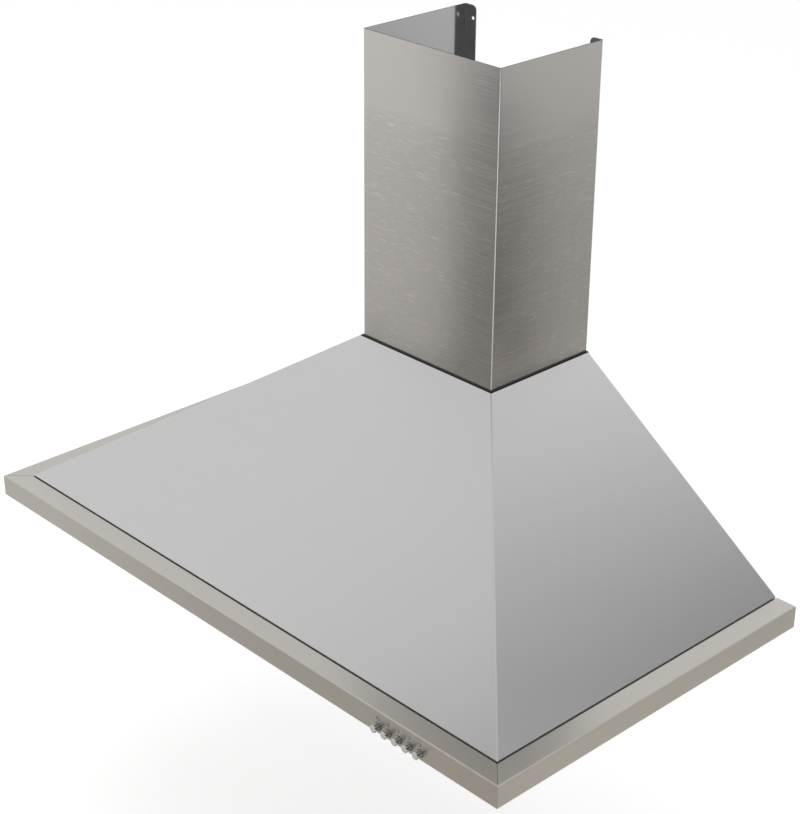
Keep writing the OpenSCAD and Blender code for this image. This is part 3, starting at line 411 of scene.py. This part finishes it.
def rail_steel(colour):
    """Stainless rails, brushed along their length: the front rail along X and the side rails along
    Y. The two meet on the mitre, where the distance from the front edge equals the distance from
    the side edge."""
    material, tree, shader = brushed(
        "Brushed_stainless_rails", colour, 0.31, (RUN, GRAIN, GRAIN), (25, 600, 600), 0.7, 0.3
    )
    axes = piece_axes(tree)
    low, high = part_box("fascia_frame")
    from_middle = add(tree, "ShaderNodeMath", {0: axes["X"]}, operation="ABSOLUTE")
    side_gap = add(tree, "ShaderNodeMath", {0: high[0], 1: from_middle}, operation="SUBTRACT")
    front_gap = add(tree, "ShaderNodeMath", {0: axes["Y"], 1: low[1]}, operation="SUBTRACT")
    on_side = add(tree, "ShaderNodeMath", {0: side_gap, 1: front_gap}, operation="LESS_THAN")
    front_grain = next(node for node in tree.nodes if node.type == "TEX_NOISE")
    takers = [link.to_socket for link in front_grain.outputs["Fac"].links]
    side_grain = stretched_noise(tree, (GRAIN, RUN, GRAIN), detail=3.0, roughness=0.65)
    grain = add(tree, "ShaderNodeMix", {
        "Factor": on_side, "A": front_grain, "B": side_grain,
    }, data_type="FLOAT")
    for taker in takers:
        tree.links.new(grain.outputs["Result"], taker)
    grain_way = add(tree, "ShaderNodeMix", {
        "Factor": on_side, "A": (1, 0, 0), "B": (0, 1, 0),
    }, data_type="VECTOR")
    plug(tree, shader, {"Tangent": grain_way})
    return material


def zinc_sheet():
    # Galvanised sheet steel: grey crystals 6 to 10 mm across, each with its own shine
    colour = linear("#AEB2B5")
    material, tree, shader = new_material("Galvanised_sheet", colour, 0.38, Metallic=1.0)
    place = add(tree, "ShaderNodeTexCoord").outputs["Object"]
    crystals = add(tree, "ShaderNodeTexVoronoi", {"Vector": place, "Scale": 130.0})
    grey = add(tree, "ShaderNodeRGBToBW", {"Color": crystals.outputs["Color"]})
    zinc = add(tree, "ShaderNodeMix", {
        "Factor": grey, "A": shaded(colour, 0.86), "B": shaded(colour, 1.10),
    }, data_type="RGBA", clamp_factor=False)
    shine = add(tree, "ShaderNodeMapRange", {
        "Value": grey, "From Min": 0.2, "From Max": 0.8, "To Min": 0.28, "To Max": 0.46,
    })
    dimples = add(tree, "ShaderNodeBump", {
        "Height": stretched_noise(tree, 300), "Strength": 0.4, "Distance": 0.00003,
    })
    plug(tree, shader, {"Base Color": zinc, "Roughness": shine, "Normal": dimples})
    return material


def painted_shade_black_deck():
    # Black powder coat on the deck, there as painted shade for the dark gap line round the
    # chimney's foot: satin, with a fine orange peel
    return finish(
        "Black_deck_painted_shade", linear("#1D1D1E"), 0.42, IOR=1.5, mottle=(30, 3, 0.85, 1.2),
        gloss=(700, 1, 0.3, 0.7, 0.36, 0.5), relief=(700, 1, 0.00003, 0.5),
    )


def plated_screw():
    # Zinc-plated cold-headed steel: bright, slightly cloudy, with a fine drawn texture
    return finish(
        "Zinc_plated_screw", linear("#B9BABC"), 0.28, Metallic=1.0, mottle=(900, 3, 0.85, 1.08),
        gloss=(900, 3, 0.3, 0.7, 0.2, 0.38),
    )


def filter_aluminium():
    # Bare aluminium sheet, rolled and folded: pale, slightly grainy, dulled by washing
    return finish(
        "Bare_aluminium_filter", linear("#CFD1D2"), 0.36, Metallic=1.0,
        mottle=(60, 4, 0.88, 1.06), gloss=(60, 4, 0.3, 0.7, 0.28, 0.46),
        relief=((800, 120, 800), 2, 0.00003, 0.5),
    )


def flap_aluminium():
    # Rolled aluminium sheet: faint lines along the roll
    roll = (900, 12, 900)
    return finish(
        "Rolled_aluminium_flap", linear("#C3C5C7"), 0.32, Metallic=1.0,
        mottle=(roll, 2, 0.92, 1.06), relief=(roll, 2, 0.00002, 0.4),
    )


def polished_chrome():
    # Chrome plate on brass: mirror bright, with hairlines from wiping
    hairs = (1500, 1500, 200)
    return finish(
        "Chrome_plate", linear("#DDDEDF"), 0.06, Metallic=1.0,
        mottle=(hairs, 2, 0.95, 1.03), gloss=(hairs, 2, 0.4, 0.7, 0.04, 0.11),
    )


def ground_steel():
    # Centreless-ground shaft steel: fine rings round the axis
    rings = (1600, 10, 10)
    return finish(
        "Ground_steel", linear("#BEC0C2"), 0.22, Metallic=1.0,
        mottle=(rings, 1, 0.9, 1.06), relief=(rings, 1, 0.00001, 0.5),
    )


def moulded(name, code, roughness):
    """Moulded plastic: an even colour with a slight mottle and the fine pitting of a spark-eroded
    tool."""
    pits = 1400
    return finish(
        name, linear(code), roughness, IOR=1.49, mottle=(25, 3, 0.88, 1.10),
        gloss=(pits, 1, 0.3, 0.7, roughness - 0.06, roughness + 0.08),
        relief=(pits, 1, 0.00003, 0.5),
    )


def sintered_bronze():
    # Oil-filled sintered bronze: brown gold, open grained
    return finish(
        "Sintered_bronze", linear("#A97C46"), 0.42, Metallic=1.0,
        mottle=(1200, 3, 0.75, 1.12), relief=(1200, 3, 0.00004, 0.6),
    )


def soft_rubber():
    # Black natural rubber: matt, with a dusty bloom
    return finish(
        "Black_rubber", linear("#1B1B1B"), 0.75, IOR=1.52,
        mottle=(200, 4, 0.8, 1.8), relief=(900, 2, 0.00003, 0.5),
    )


def lens_glass():
    # Pressed borosilicate glass, etched on the inside: milky, with a soft gloss
    return finish(
        "Frosted_lens_glass", linear("#EEF3F4"), 0.32, IOR=1.47, Transmission_Weight=0.85,
        mottle=(40, 2, 0.93, 1.0), gloss=(1300, 2, 0.3, 0.7, 0.24, 0.42),
        relief=(1300, 2, 0.00002, 0.4),
    )


def bulb_glass():
    # Fused quartz capsule: clear and smooth, faintly uneven where it was drawn
    drawn = (180, 180, 60)
    return finish(
        "Clear_capsule_glass", linear("#F6F8F9"), 0.04, IOR=1.46, Transmission_Weight=1.0,
        mottle=(drawn, 1, 0.96, 1.0), relief=(drawn, 1, 0.00004, 0.5),
    )


def printed_ink(colour):
    # Baked screen-print ink: flat grey, slightly grainy
    return finish("Printed_grey_ink", colour, 0.5, IOR=1.5, mottle=(2500, 2, 0.85, 1.15))


# Operators, one for each piece or group of like pieces


class Dress:
    """Shared by the operators: each runs once from the panel or from main."""

    bl_options = {"REGISTER"}


class HOOD_OT_steel_body(Dress, bpy.types.Operator):
    """Gives the canopy, rails, chimney cover and bottom panel their brushed stainless"""

    bl_idname = "hood.steel_body"
    bl_label = "Stainless body"

    def execute(self, context):
        colours = context.scene.hood_colours
        coat(["canopy_shell"], canopy_steel(tuple(colours.canopy)))
        coat(["fascia_frame"], rail_steel(tuple(colours.rail)))
        coat(["chimney_cover"], chimney_steel(tuple(colours.chimney)))
        coat(["bottom_panel"], panel_steel(tuple(colours.panel)))
        return {"FINISHED"}


class HOOD_OT_zinc_parts(Dress, bpy.types.Operator):
    """Gives the back panel, motor, brackets and screws their zinc, and the deck a black that is
    painted shade for the gap below the chimney
    """

    bl_idname = "hood.zinc_parts"
    bl_label = "Galvanised parts and screws"

    def execute(self, context):
        coat([
            "back_panel", "motor_body", "motor_bracket", "capacitor_clip",
            "lamp_housing_left", "lamp_housing_right",
        ], zinc_sheet())
        # The deck's black is painted shade: it makes the dark line where the chimney meets the
        # canopy
        coat(["top_deck"], painted_shade_black_deck())
        coat([
            "chimney_screws", "bottom_panel_screws", "case_screws", "motor_screws", "blower_screws",
            "terminal_box_screws",
        ], plated_screw())
        return {"FINISHED"}


class HOOD_OT_buttons(Dress, bpy.types.Operator):
    """Gives the five push buttons their chrome"""

    bl_idname = "hood.buttons"
    bl_label = "Push buttons"

    def execute(self, context):
        coat([f"button_{b}" for b in BUTTONS], polished_chrome())
        return {"FINISHED"}


INK_RISE = 0.00006


def mark_strokes(half):
    """The strokes of each mark, as paths and whether each is closed. The mark's middle is at 0, 0,
    and half is half its height. An arc goes from angle to angle as (cx + rx cos t, cz + rz sin t).
    """
    turn = np.linspace(0, 2 * np.pi, 48, endpoint=False)
    arc = np.linspace(0, 1, 20)

    def bow(cx, cz, rx, rz, start, end):
        t = np.radians(start + (end - start) * arc)
        return np.stack([cx + rx * np.cos(t), cz + rz * np.sin(t)], 1)

    two_head = bow(0, 0.45 * half, 0.58 * half, 0.55 * half, 165, -30)
    two_foot = [[-0.6 * half, -half], [0.62 * half, -half]]
    return {
        "lamp": [(np.stack([half * np.cos(turn), half * np.sin(turn)], 1), True)],
        "off": [(np.stack([0.62 * half * np.cos(turn), half * np.sin(turn)], 1), True)],
        "low": [(np.array([[-0.35, 0.55], [0, 1], [0, 0], [0, -1]]) * half, False)],
        "middle": [(np.vstack([two_head, two_foot]), False)],
        "high": [
            (bow(0, 0.5 * half, 0.52 * half, 0.5 * half, 150, -90), False),
            (bow(0, -0.5 * half, 0.6 * half, 0.5 * half, 90, -150), False),
        ],
    }


class HOOD_OT_marks(Dress, bpy.types.Operator):
    """Prints a plain mark above each button: a ring for the lamp and the numbers 0 to 3"""

    bl_idname = "hood.marks"
    bl_label = "Marks above the buttons"

    def execute(self, context):
        sizes = context.scene.hood_sizes
        ink = printed_ink(tuple(context.scene.hood_colours.mark))
        front = corners("fascia_frame")[0][1]
        for button, strokes in mark_strokes(sizes.mark_height / 2).items():
            low, high = corners(f"button_{button}")
            middle = (low + high) / 2
            verts, faces = joined([
                stroke(path, sizes.mark_stroke, INK_RISE, closed) for path, closed in strokes
            ])
            verts = verts + (middle[0], front, middle[2] + sizes.mark_rise)
            piece(f"mark_{button}", verts, faces.tolist(), ink, "root")
        return {"FINISHED"}


class HOOD_OT_filters(Dress, bpy.types.Operator):
    """Gives the grease filters and their latches their finishes"""

    bl_idname = "hood.filters"
    bl_label = "Grease filters"

    def execute(self, context):
        filter_parts = [f"filter_{part}_{bay}" for part in ("frame", "pad", "mesh") for bay in BAYS]
        latch_black = moulded("Black_moulded_latch", "#202022", 0.38)
        coat(filter_parts, filter_aluminium())
        coat([f"latch_cup_{bay}" for bay in BAYS], moulded("Grey_moulded_cup", "#5F6163", 0.42))
        coat([f"latch_slider_{bay}" for bay in BAYS], latch_black)
        return {"FINISHED"}


class HOOD_OT_filter_faces(Dress, bpy.types.Operator):
    """Makes the expanded metal face of each filter, in place of the coarse sheet of the CAD"""

    bl_idname = "hood.filter_faces"
    bl_label = "Expanded metal faces"

    def execute(self, context):
        sizes = context.scene.hood_sizes
        alloy = bpy.data.materials["Bare_aluminium_filter"]
        for bay in BAYS:
            verts, faces = expanded_metal(
                *corners(f"filter_mesh_{bay}"), *corners(f"latch_cup_{bay}"),
                sizes.cell_length, sizes.cell_width,
            )
            made = piece(f"mesh_face_{bay}", verts, faces.tolist(), alloy, f"filter_{bay}")
            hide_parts(f"filter_mesh_{bay}")
        return {"FINISHED"}


STRAND_WIDTH, STRAND_THICKNESS = 0.0011, 0.0006
STRAND_TILT = 0.35
# How much of the tilt's rise the rolling afterwards leaves
TILT_LEFT = 0.8
# Clearance of the latch cup, along X and along Y
CUP_GAP_X, CUP_GAP_Y = 0.0004, 0.001


def expanded_metal(low, high, cup_low, cup_high, length, width):
    """Expanded metal: strand j runs along x and swings across as a triangle wave of period length.
    Its middle is y = y_j + (-1)^j a T(x), with T between -1 and 1 and flattened at its turns, so
    that neighbours meet at the turns and part between them. Each strand is a flat bar, tilted as
    the stretching of the slit sheet tilts it. The strands stop short of the latch cup."""
    inner_low, inner_high = low[1] + STRAND_WIDTH / 2, high[1] - STRAND_WIDTH / 2
    span = high[1] - low[1] - STRAND_WIDTH
    rows = int(span / (width / 2))
    cells = int(round((high[0] - low[0]) / length))
    turns = ((0.0, 1.0), (0.10, 1.0), (0.40, -1.0), (0.60, -1.0), (0.90, 1.0))
    phases, heights = np.array(turns).T
    u = np.concatenate([(np.arange(cells)[:, None] + phases[None, :]).ravel(), [cells]])
    t = np.concatenate([np.tile(heights, cells), [1.0]])
    x = low[0] + (high[0] - low[0]) * u / cells
    z = (low[2] + high[2]) / 2
    strands = []
    for j in range(rows):
        y_j = inner_low + (j + 0.5) * span / rows
        sign = 1 if j % 2 else -1
        y = np.clip(y_j + sign * (width / 4) * t, inner_low, inner_high)
        runs = [np.ones(len(x), bool)]
        if y_j - width / 4 < cup_high[1] + CUP_GAP_Y:
            runs = [x < cup_low[0] - CUP_GAP_X, x > cup_high[0] + CUP_GAP_X]
        for run in runs:
            tilt = sign * t[run] * STRAND_TILT
            sine, cosine = np.sin(tilt), np.cos(tilt)
            edges = []
            for a, b in ((-0.5, -0.5), (0.5, -0.5), (0.5, 0.5), (-0.5, 0.5)):
                across, up = a * STRAND_WIDTH, b * STRAND_THICKNESS
                edges.append(np.stack([
                    x[run], y[run] + across * cosine - up * sine,
                    z + across * sine * TILT_LEFT + up * cosine,
                ], 1))
            n = len(tilt)
            ends = [[3, 2, 1, 0], [4 * n - 4, 4 * n - 3, 4 * n - 2, 4 * n - 1]]
            faces = np.vstack([grid_faces(n, 4, closed_columns=True), ends])
            strands.append((np.stack(edges, 1).reshape(-1, 3), faces))
    verts, faces = joined(strands)
    return verts, faces[:, ::-1]


class HOOD_OT_lamps(Dress, bpy.types.Operator):
    """Makes the pressed lenses and gives the lamps their chrome and glass"""

    bl_idname = "hood.lamps"
    bl_label = "Lamps"

    def execute(self, context):
        coat([f"lamp_bezel_{side}" for side in SIDES], bpy.data.materials["Chrome_plate"])
        coat([f"lamp_bulb_{side}" for side in SIDES], bulb_glass())
        glass = lens_glass()
        coat([f"lamp_lens_{side}" for side in SIDES], glass)
        pitch = context.scene.hood_sizes.ridge_pitch
        for side in SIDES:
            verts, faces = ridged_lens(*corners(f"lamp_lens_{side}"), pitch)
            lens = piece(f"pressed_lens_{side}", verts, faces, glass, "root")
            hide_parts(f"lamp_lens_{side}")
        return {"FINISHED"}


LENS_STEPS = 96
RIDGE_POINTS, RIDGE_DEPTH = 110, 0.00025
LENS_RIM_WIDTH, LENS_RIM_LIFT = 0.0006, 0.0004
LENS_TIP = 0.0003


def ridged_lens(low, high, pitch):
    """A round lens with rings pressed into its underside: at radius r they rise by
    depth (1 - cos(2 pi r / pitch)) / 2. A fan of triangles closes each side at the middle."""
    radius = (high[0] - low[0]) / 2
    middle = (low + high)[:2] / 2
    r = np.linspace(LENS_TIP, radius - LENS_RIM_WIDTH, RIDGE_POINTS)
    ridge = RIDGE_DEPTH * (1 - np.cos(2 * np.pi * r / pitch)) / 2
    under = np.stack([r, low[2] + ridge], 1)
    rim = [[radius, low[2] + LENS_RIM_LIFT], [radius, high[2]], [LENS_TIP, high[2]]]
    profile = np.vstack([under, rim])
    verts, faces = revolved(profile, (*middle, 0), LENS_STEPS)
    below = np.arange(LENS_STEPS) * len(profile)
    above = below + len(profile) - 1
    tip = len(verts)
    fan_below = np.stack([np.roll(below, -1), below, np.full(LENS_STEPS, tip)], 1)
    fan_above = np.stack([above, np.roll(above, -1), np.full(LENS_STEPS, tip + 1)], 1)
    tips = [(*middle, low[2]), (*middle, high[2])]
    return np.vstack([verts, tips]), faces.tolist() + fan_below.tolist() + fan_above.tolist()


class HOOD_OT_blower(Dress, bpy.types.Operator):
    """Gives the blower, its motor and the outlet their finishes"""

    bl_idname = "hood.blower"
    bl_label = "Blower and outlet"

    def execute(self, context):
        casing_grey = moulded("Grey_moulded_casing", "#66686B", 0.44)
        coat(["scroll_case_left", "scroll_case_right"], casing_grey)
        coat(["impeller_blades", "impeller_frame"], bpy.data.materials["Galvanised_sheet"])
        coat(["outlet_adapter"], moulded("Black_moulded_adapter", "#232325", 0.42))
        coat(["motor_shaft", "flap_pins"], ground_steel())
        coat(["motor_bushes"], sintered_bronze())
        coat(["motor_grommets"], soft_rubber())
        coat(["flap_front", "flap_rear"], flap_aluminium())
        return {"FINISHED"}


class HOOD_OT_electrics(Dress, bpy.types.Operator):
    """Gives the terminal box, capacitor, gland and switch block their plastics"""

    bl_idname = "hood.electrics"
    bl_label = "Electrics"

    def execute(self, context):
        box_white = moulded("White_moulded_box", "#DADAD4", 0.4)
        coat(["terminal_box", "terminal_box_lid", "capacitor"], box_white)
        coat(["terminal_block"], moulded("Natural_polyamide_block", "#E4E1D2", 0.35))
        coat(["mains_gland", "switch_block"], moulded("Black_polyamide", "#1C1C1E", 0.4))
        return {"FINISHED"}


class HOOD_OT_studio(Dress, bpy.types.Operator):
    """Sets up the pale floor, the soft lights, the world and the camera"""

    bl_idname = "hood.studio"
    bl_label = "Studio"

    def execute(self, context):
        studio = context.scene.hood_studio
        context.scene.view_settings.view_transform = "Standard"
        lay_floor(studio.floor_drop)
        hang_light("key", (0.1, -0.5, 2.6), (0, -0.25, 0), 2.0, studio.key_power)
        hang_light("fill", (-0.6, -2.6, 0.9), (0, -0.25, 0.1), 1.0, studio.fill_power)
        lay_floor_card(studio.floor_drop)
        hang_back_card()
        hang_front_card()
        stand_dark_card()
        light_world(context.scene, studio.sky)
        place_camera(context.scene)
        return {"FINISHED"}


def seen_ray(tree):
    """1 for camera, glossy and transmission rays, which show the white background, and 0 for
    diffuse light."""
    rays = add(tree, "ShaderNodeLightPath").outputs
    either = add(tree, "ShaderNodeMath", {
        0: rays["Is Camera Ray"], 1: rays["Is Glossy Ray"],
    }, operation="MAXIMUM")
    return add(tree, "ShaderNodeMath", {
        0: either, 1: rays["Is Transmission Ray"],
    }, operation="MAXIMUM")


def level_square(reach, height):
    """Corners of a level square about the origin."""
    return [(x * reach, y * reach, height) for x, y in ((-1, -1), (1, -1), (1, 1), (-1, 1))]


def stage_sheet(name, corner_points, material):
    """A flat sheet of the stage, of four corners."""
    mesh = bpy.data.meshes.new(name)
    mesh.from_pydata(corner_points, [], [(0, 1, 2, 3)])
    mesh.materials.append(material)
    made = bpy.data.objects.new(name, mesh)
    bpy.context.scene.collection.objects.link(made)
    return made


FLOOR_REACH = 30.0
FLOOR_GLOW = 0.42


def lay_floor(drop):
    """A wide flat white floor. Seen from above it is white and takes shadows; from below it lets
    the view through."""
    material, tree, shader = new_material("White_studio_floor", linear("#F7F7F7"), 0.9)
    lift = add(tree, "ShaderNodeMath", {0: seen_ray(tree), 1: FLOOR_GLOW}, operation="MULTIPLY")
    glow = add(tree, "ShaderNodeEmission", {"Color": (1, 1, 1, 1), "Strength": lift})
    white = add(tree, "ShaderNodeAddShader", {0: shader, 1: glow})
    clear = add(tree, "ShaderNodeBsdfTransparent")
    from_below = add(tree, "ShaderNodeNewGeometry").outputs["Backfacing"]
    pick = add(tree, "ShaderNodeMixShader", {0: from_below, 1: white, 2: clear})
    plug(tree, tree.nodes["Material Output"], {"Surface": pick})
    stage_sheet("floor", level_square(FLOOR_REACH, -drop), material)


def toned(ramp, stops):
    """Gives a colour ramp its stops of (position, grey or red-green-blue)."""
    points = ramp.color_ramp.elements
    while len(points) < len(stops):
        points.new(0.5)
    for point, (position, tone) in zip(points, stops):
        point.position = position
        point.color = (*(tone if isinstance(tone, tuple) else (tone,) * 3), 1)
    return ramp


def by_degrees(stops):
    """Stops round a radial gradient, from degrees between -180 and 180 to its 0 to 1."""
    return [(degrees / 360 + 0.5, tone) for degrees, tone in stops]


def card(name, corner_points):
    """A flat card that only reflections show, as a photographer's grey card beside the camera. Its
    material lays a glow over a clear surface. Gives back the tree, the glow, the cover, which says
    how much of the glow shows, and the place on the card."""
    material = bpy.data.materials.new(f"Grey_{name}")
    material.use_nodes = True
    tree = material.node_tree
    tree.nodes.clear()
    glow = add(tree, "ShaderNodeEmission")
    clear = add(tree, "ShaderNodeBsdfTransparent")
    cover = add(tree, "ShaderNodeMixShader", {1: clear, 2: glow})
    add(tree, "ShaderNodeOutputMaterial", {"Surface": cover})
    made = stage_sheet(name, corner_points, material)
    for kind in ("camera", "diffuse", "shadow", "transmission", "volume_scatter"):
        setattr(made, f"visible_{kind}", False)
    return tree, glow, cover, add(tree, "ShaderNodeTexCoord").outputs["Object"]


FLOOR_CARD_REACH, FLOOR_CARD_LIFT = 8.0, 0.01
# Tones of the floor card outwards, by the distance from the hood as a share of the ring reach
RING_REACH = 4.0
RING_TONES = (
    (0.38, (0.66, 0.645, 0.63)), (0.50, (0.74, 0.725, 0.71)), (0.60, (0.79, 0.775, 0.76)),
    (0.78, (0.81, 0.80, 0.79)), (0.82, 0.95), (1.0, 0.95),
)
# Its tones round a point under the canopy, by degrees from the right, with the wall's side above
# 0: far from the hood, where the chimney's faces look, and near it, where the fascia looks
TURN_POINT = (0.06, -0.13, 0)
FAR_TONES = (
    (-134.7, 1.0), (-133.5, 0.38), (-125, 0.34), (-95, 0.36), (-70, 1.5), (-20, 1.5),
    (5, 0.25), (46.2, 0.25), (48.3, 0.71), (100, 0.82), (160, 1.0),
)
NEAR_TONES = (
    (-152, (1.04, 1.02, 0.99)), (-144, (0.82, 0.79, 0.75)), (-120, (0.66, 0.62, 0.57)),
    (-88, (0.60, 0.55, 0.49)), (-68, 0.24), (-55, (0.13, 0.135, 0.14)),
    (-30, (0.13, 0.135, 0.14)), (-8, (0.68, 0.63, 0.57)), (15, (0.78, 0.74, 0.69)),
    (40, (0.74, 0.70, 0.65)), (120, 0.85),
)


def lay_floor_card(drop):
    """The floor as the steel sees it. Its near tones give way to the far ones between 1.42 and
    1.6 m from the hood. The far tones show more strongly with the distance, times the tone of their
    ring, and are never darker than 0.77 of it from 2.45 m behind the wall. The card fades out over
    its last metre."""
    tree, glow, cover, place = card(
        "floor_card", level_square(FLOOR_CARD_REACH, FLOOR_CARD_LIFT - drop)
    )
    flat = add(tree, "ShaderNodeVectorMath", {0: place, 1: (1, 1, 0)}, operation="MULTIPLY")
    distance = add(tree, "ShaderNodeVectorMath", {0: flat}, operation="LENGTH")
    arm = add(tree, "ShaderNodeVectorMath", {0: flat, 1: TURN_POINT}, operation="SUBTRACT")
    turn = add(
        tree, "ShaderNodeTexGradient", {"Vector": arm}, gradient_type="RADIAL"
    ).outputs["Fac"]
    out = add(tree, "ShaderNodeMapRange", {"Value": distance, "From Max": RING_REACH})
    rings = toned(add(tree, "ShaderNodeValToRGB", {"Fac": out}), RING_TONES)
    sectors = toned(add(tree, "ShaderNodeValToRGB", {"Fac": turn}), by_degrees(FAR_TONES))
    depth = add(tree, "ShaderNodeMapRange", {
        "Value": distance, "From Min": 1.5, "From Max": 4.5, "To Min": 0.84, "To Max": 1.18,
    })
    deeper = add(tree, "ShaderNodeMix", {
        "Factor": depth, "A": (1, 1, 1, 1), "B": sectors,
    }, data_type="RGBA", clamp_factor=False)
    beyond = add(tree, "ShaderNodeSeparateXYZ", {"Vector": flat}).outputs["Y"]
    behind = add(tree, "ShaderNodeMapRange", {
        "Value": beyond, "From Min": 2.1, "From Max": 2.45, "To Max": 0.77,
    })
    lifted = add(tree, "ShaderNodeVectorMath", {0: deeper, 1: behind}, operation="MAXIMUM")
    far = add(tree, "ShaderNodeVectorMath", {0: rings, 1: lifted}, operation="MULTIPLY")
    near = toned(add(tree, "ShaderNodeValToRGB", {"Fac": turn}), by_degrees(NEAR_TONES))
    change = add(tree, "ShaderNodeMapRange", {
        "Value": distance, "From Min": 1.42, "From Max": 1.6,
    })
    plug(tree, glow, {"Color": add(tree, "ShaderNodeMix", {
        "Factor": change, "A": near, "B": far,
    }, data_type="RGBA")})
    plug(tree, cover, {0: add(tree, "ShaderNodeMapRange", {
        "Value": distance, "From Min": FLOOR_CARD_REACH - 1, "From Max": FLOOR_CARD_REACH,
        "To Min": 1, "To Max": 0,
    })})


def hang_back_card():
    """A card behind the hood on the right, which shades the canopy's right side from its top to its
    foot."""
    tree, glow, cover, place = card(
        "back_card", [(-0.5, 2, 0), (5, 2, 0), (5, 2, 5), (-0.5, 2, 5)]
    )
    slant = add(tree, "ShaderNodeVectorMath", {0: place, 1: (1, 0, -0.3)}, operation="DOT_PRODUCT")
    across = add(tree, "ShaderNodeMapRange", {"Value": slant, "From Max": 2})
    tones = add(tree, "ShaderNodeValToRGB", {"Fac": across})
    shade = add(tree, "ShaderNodeValToRGB", {"Fac": across})
    plug(tree, glow, {"Color": toned(tones, ((0.06, 1.12), (0.14, 0.85), (0.36, 0.06)))})
    plug(tree, cover, {0: toned(shade, (
        (0.06, 1.0), (0.14, 0.36), (0.36, 0.66), (0.46, 1.0), (0.67, 1.0), (0.77, 0.25), (0.85, 0),
    ))})


def hang_front_card():
    """A card above the front, which shades the canopy's near lower corner."""
    tree, glow, cover, place = card(
        "front_card", [(-3, -4, 2.5), (1, -4, 2.5), (1, -0.5, 2.5), (-3, -0.5, 2.5)]
    )
    slant = add(tree, "ShaderNodeVectorMath", {0: place, 1: (1, -1, 0)}, operation="DOT_PRODUCT")
    plug(tree, glow, {"Color": (0.3, 0.3, 0.29, 1)})
    plug(tree, cover, {0: add(tree, "ShaderNodeMapRange", {
        "Value": slant, "From Min": 0.02, "From Max": 0.6,
    })})


def stand_dark_card():
    """A dark card behind the camera, which the chrome buttons need for their dark sides. It fades
    out towards its top."""
    tree, glow, cover, place = card(
        "dark_card", [(0.2, -5.4, -0.5), (5.4, -1.2, -0.5), (5.4, -1.2, 4), (0.2, -5.4, 4)]
    )
    height = add(tree, "ShaderNodeSeparateXYZ", {"Vector": place}).outputs["Z"]
    plug(tree, glow, {"Color": (0.07, 0.07, 0.07, 1)})
    plug(tree, cover, {0: add(tree, "ShaderNodeMapRange", {
        "Value": height, "From Min": 2.5, "From Max": 4.0, "To Min": 1, "To Max": 0,
    })})


def hang_light(name, place, aim, size, power):
    """A square soft light that faces a point. The steel reflects the white room, not the lamp."""
    lamp = bpy.data.lights.new(name, "AREA")
    lamp.shape, lamp.size, lamp.energy = "SQUARE", size, power
    made = bpy.data.objects.new(name, lamp)
    made.location = place
    made.rotation_euler = (Vector(aim) - Vector(place)).to_track_quat("-Z", "Y").to_euler()
    made.visible_glossy = False
    bpy.context.scene.collection.objects.link(made)


def light_world(scene, level):
    """Even light of the given level, and plain white for the rays that see the background."""
    world = bpy.data.worlds.new("studio")
    world.use_nodes = True
    tree = world.node_tree
    tree.nodes.clear()
    soft = add(tree, "ShaderNodeBackground", {"Color": (1, 1, 1, 1), "Strength": level})
    white = add(tree, "ShaderNodeBackground", {"Color": (1, 1, 1, 1), "Strength": 1.0})
    pick = add(tree, "ShaderNodeMixShader", {0: seen_ray(tree), 1: soft, 2: white})
    add(tree, "ShaderNodeOutputWorld", {"Surface": pick})
    scene.world = world


def place_camera(scene):
    """The camera of the photograph, from a fit to the corners of the hood, for a frame of
    800 x 814."""
    data = bpy.data.cameras.new("camera")
    data.sensor_width, data.lens = 36.0, 86.13
    data.shift_x, data.shift_y = 0.0265, -0.0066
    camera = bpy.data.objects.new("camera", data)
    place = Vector((1.5330, -1.6725, 1.2449))
    right = Vector((0.6804, 0.7329, 0.0016)).normalized()
    ahead = Vector((-0.6571, 0.6110, -0.4414)).normalized()
    up = right.cross(ahead).normalized()
    right = ahead.cross(up)
    turn = Matrix((right, up, -ahead)).transposed().to_4x4()
    camera.matrix_world = Matrix.Translation(place) @ turn
    scene.collection.objects.link(camera)
    scene.camera = camera


class HOOD_PT_dressing(bpy.types.Panel):
    """Lists the steps that dress the hood"""

    bl_label = "Range hood"
    bl_idname = "HOOD_PT_dressing"
    bl_space_type = "VIEW_3D"
    bl_region_type = "UI"
    bl_category = "Range hood"

    def draw(self, context):
        for group in ("hood_colours", "hood_sizes", "hood_studio"):
            settings = getattr(context.scene, group)
            for name in settings.__annotations__:
                self.layout.prop(settings, name)
        for step in STEPS:
            self.layout.operator(step.bl_idname)


STEPS = (
    HOOD_OT_steel_body, HOOD_OT_zinc_parts, HOOD_OT_buttons, HOOD_OT_marks, HOOD_OT_filters,
    HOOD_OT_filter_faces, HOOD_OT_lamps, HOOD_OT_blower, HOOD_OT_electrics, HOOD_OT_studio,
)
GROUPS = {"hood_colours": HoodColours, "hood_sizes": HoodSizes, "hood_studio": HoodStudio}


def register():
    for made in (*GROUPS.values(), *STEPS, HOOD_PT_dressing):
        bpy.utils.register_class(made)
    for name, group in GROUPS.items():
        setattr(bpy.types.Scene, name, PointerProperty(type=group))


def unregister():
    for name in GROUPS:
        delattr(bpy.types.Scene, name)
    for made in reversed((*GROUPS.values(), *STEPS, HOOD_PT_dressing)):
        bpy.utils.unregister_class(made)


def main():
    register()
    for step in STEPS:
        group, name = step.bl_idname.split(".")
        if getattr(getattr(bpy.ops, group), name)() != {"FINISHED"}:
            raise RuntimeError(f"{step.bl_label} did not finish")


if __name__ == "__main__":
    main()
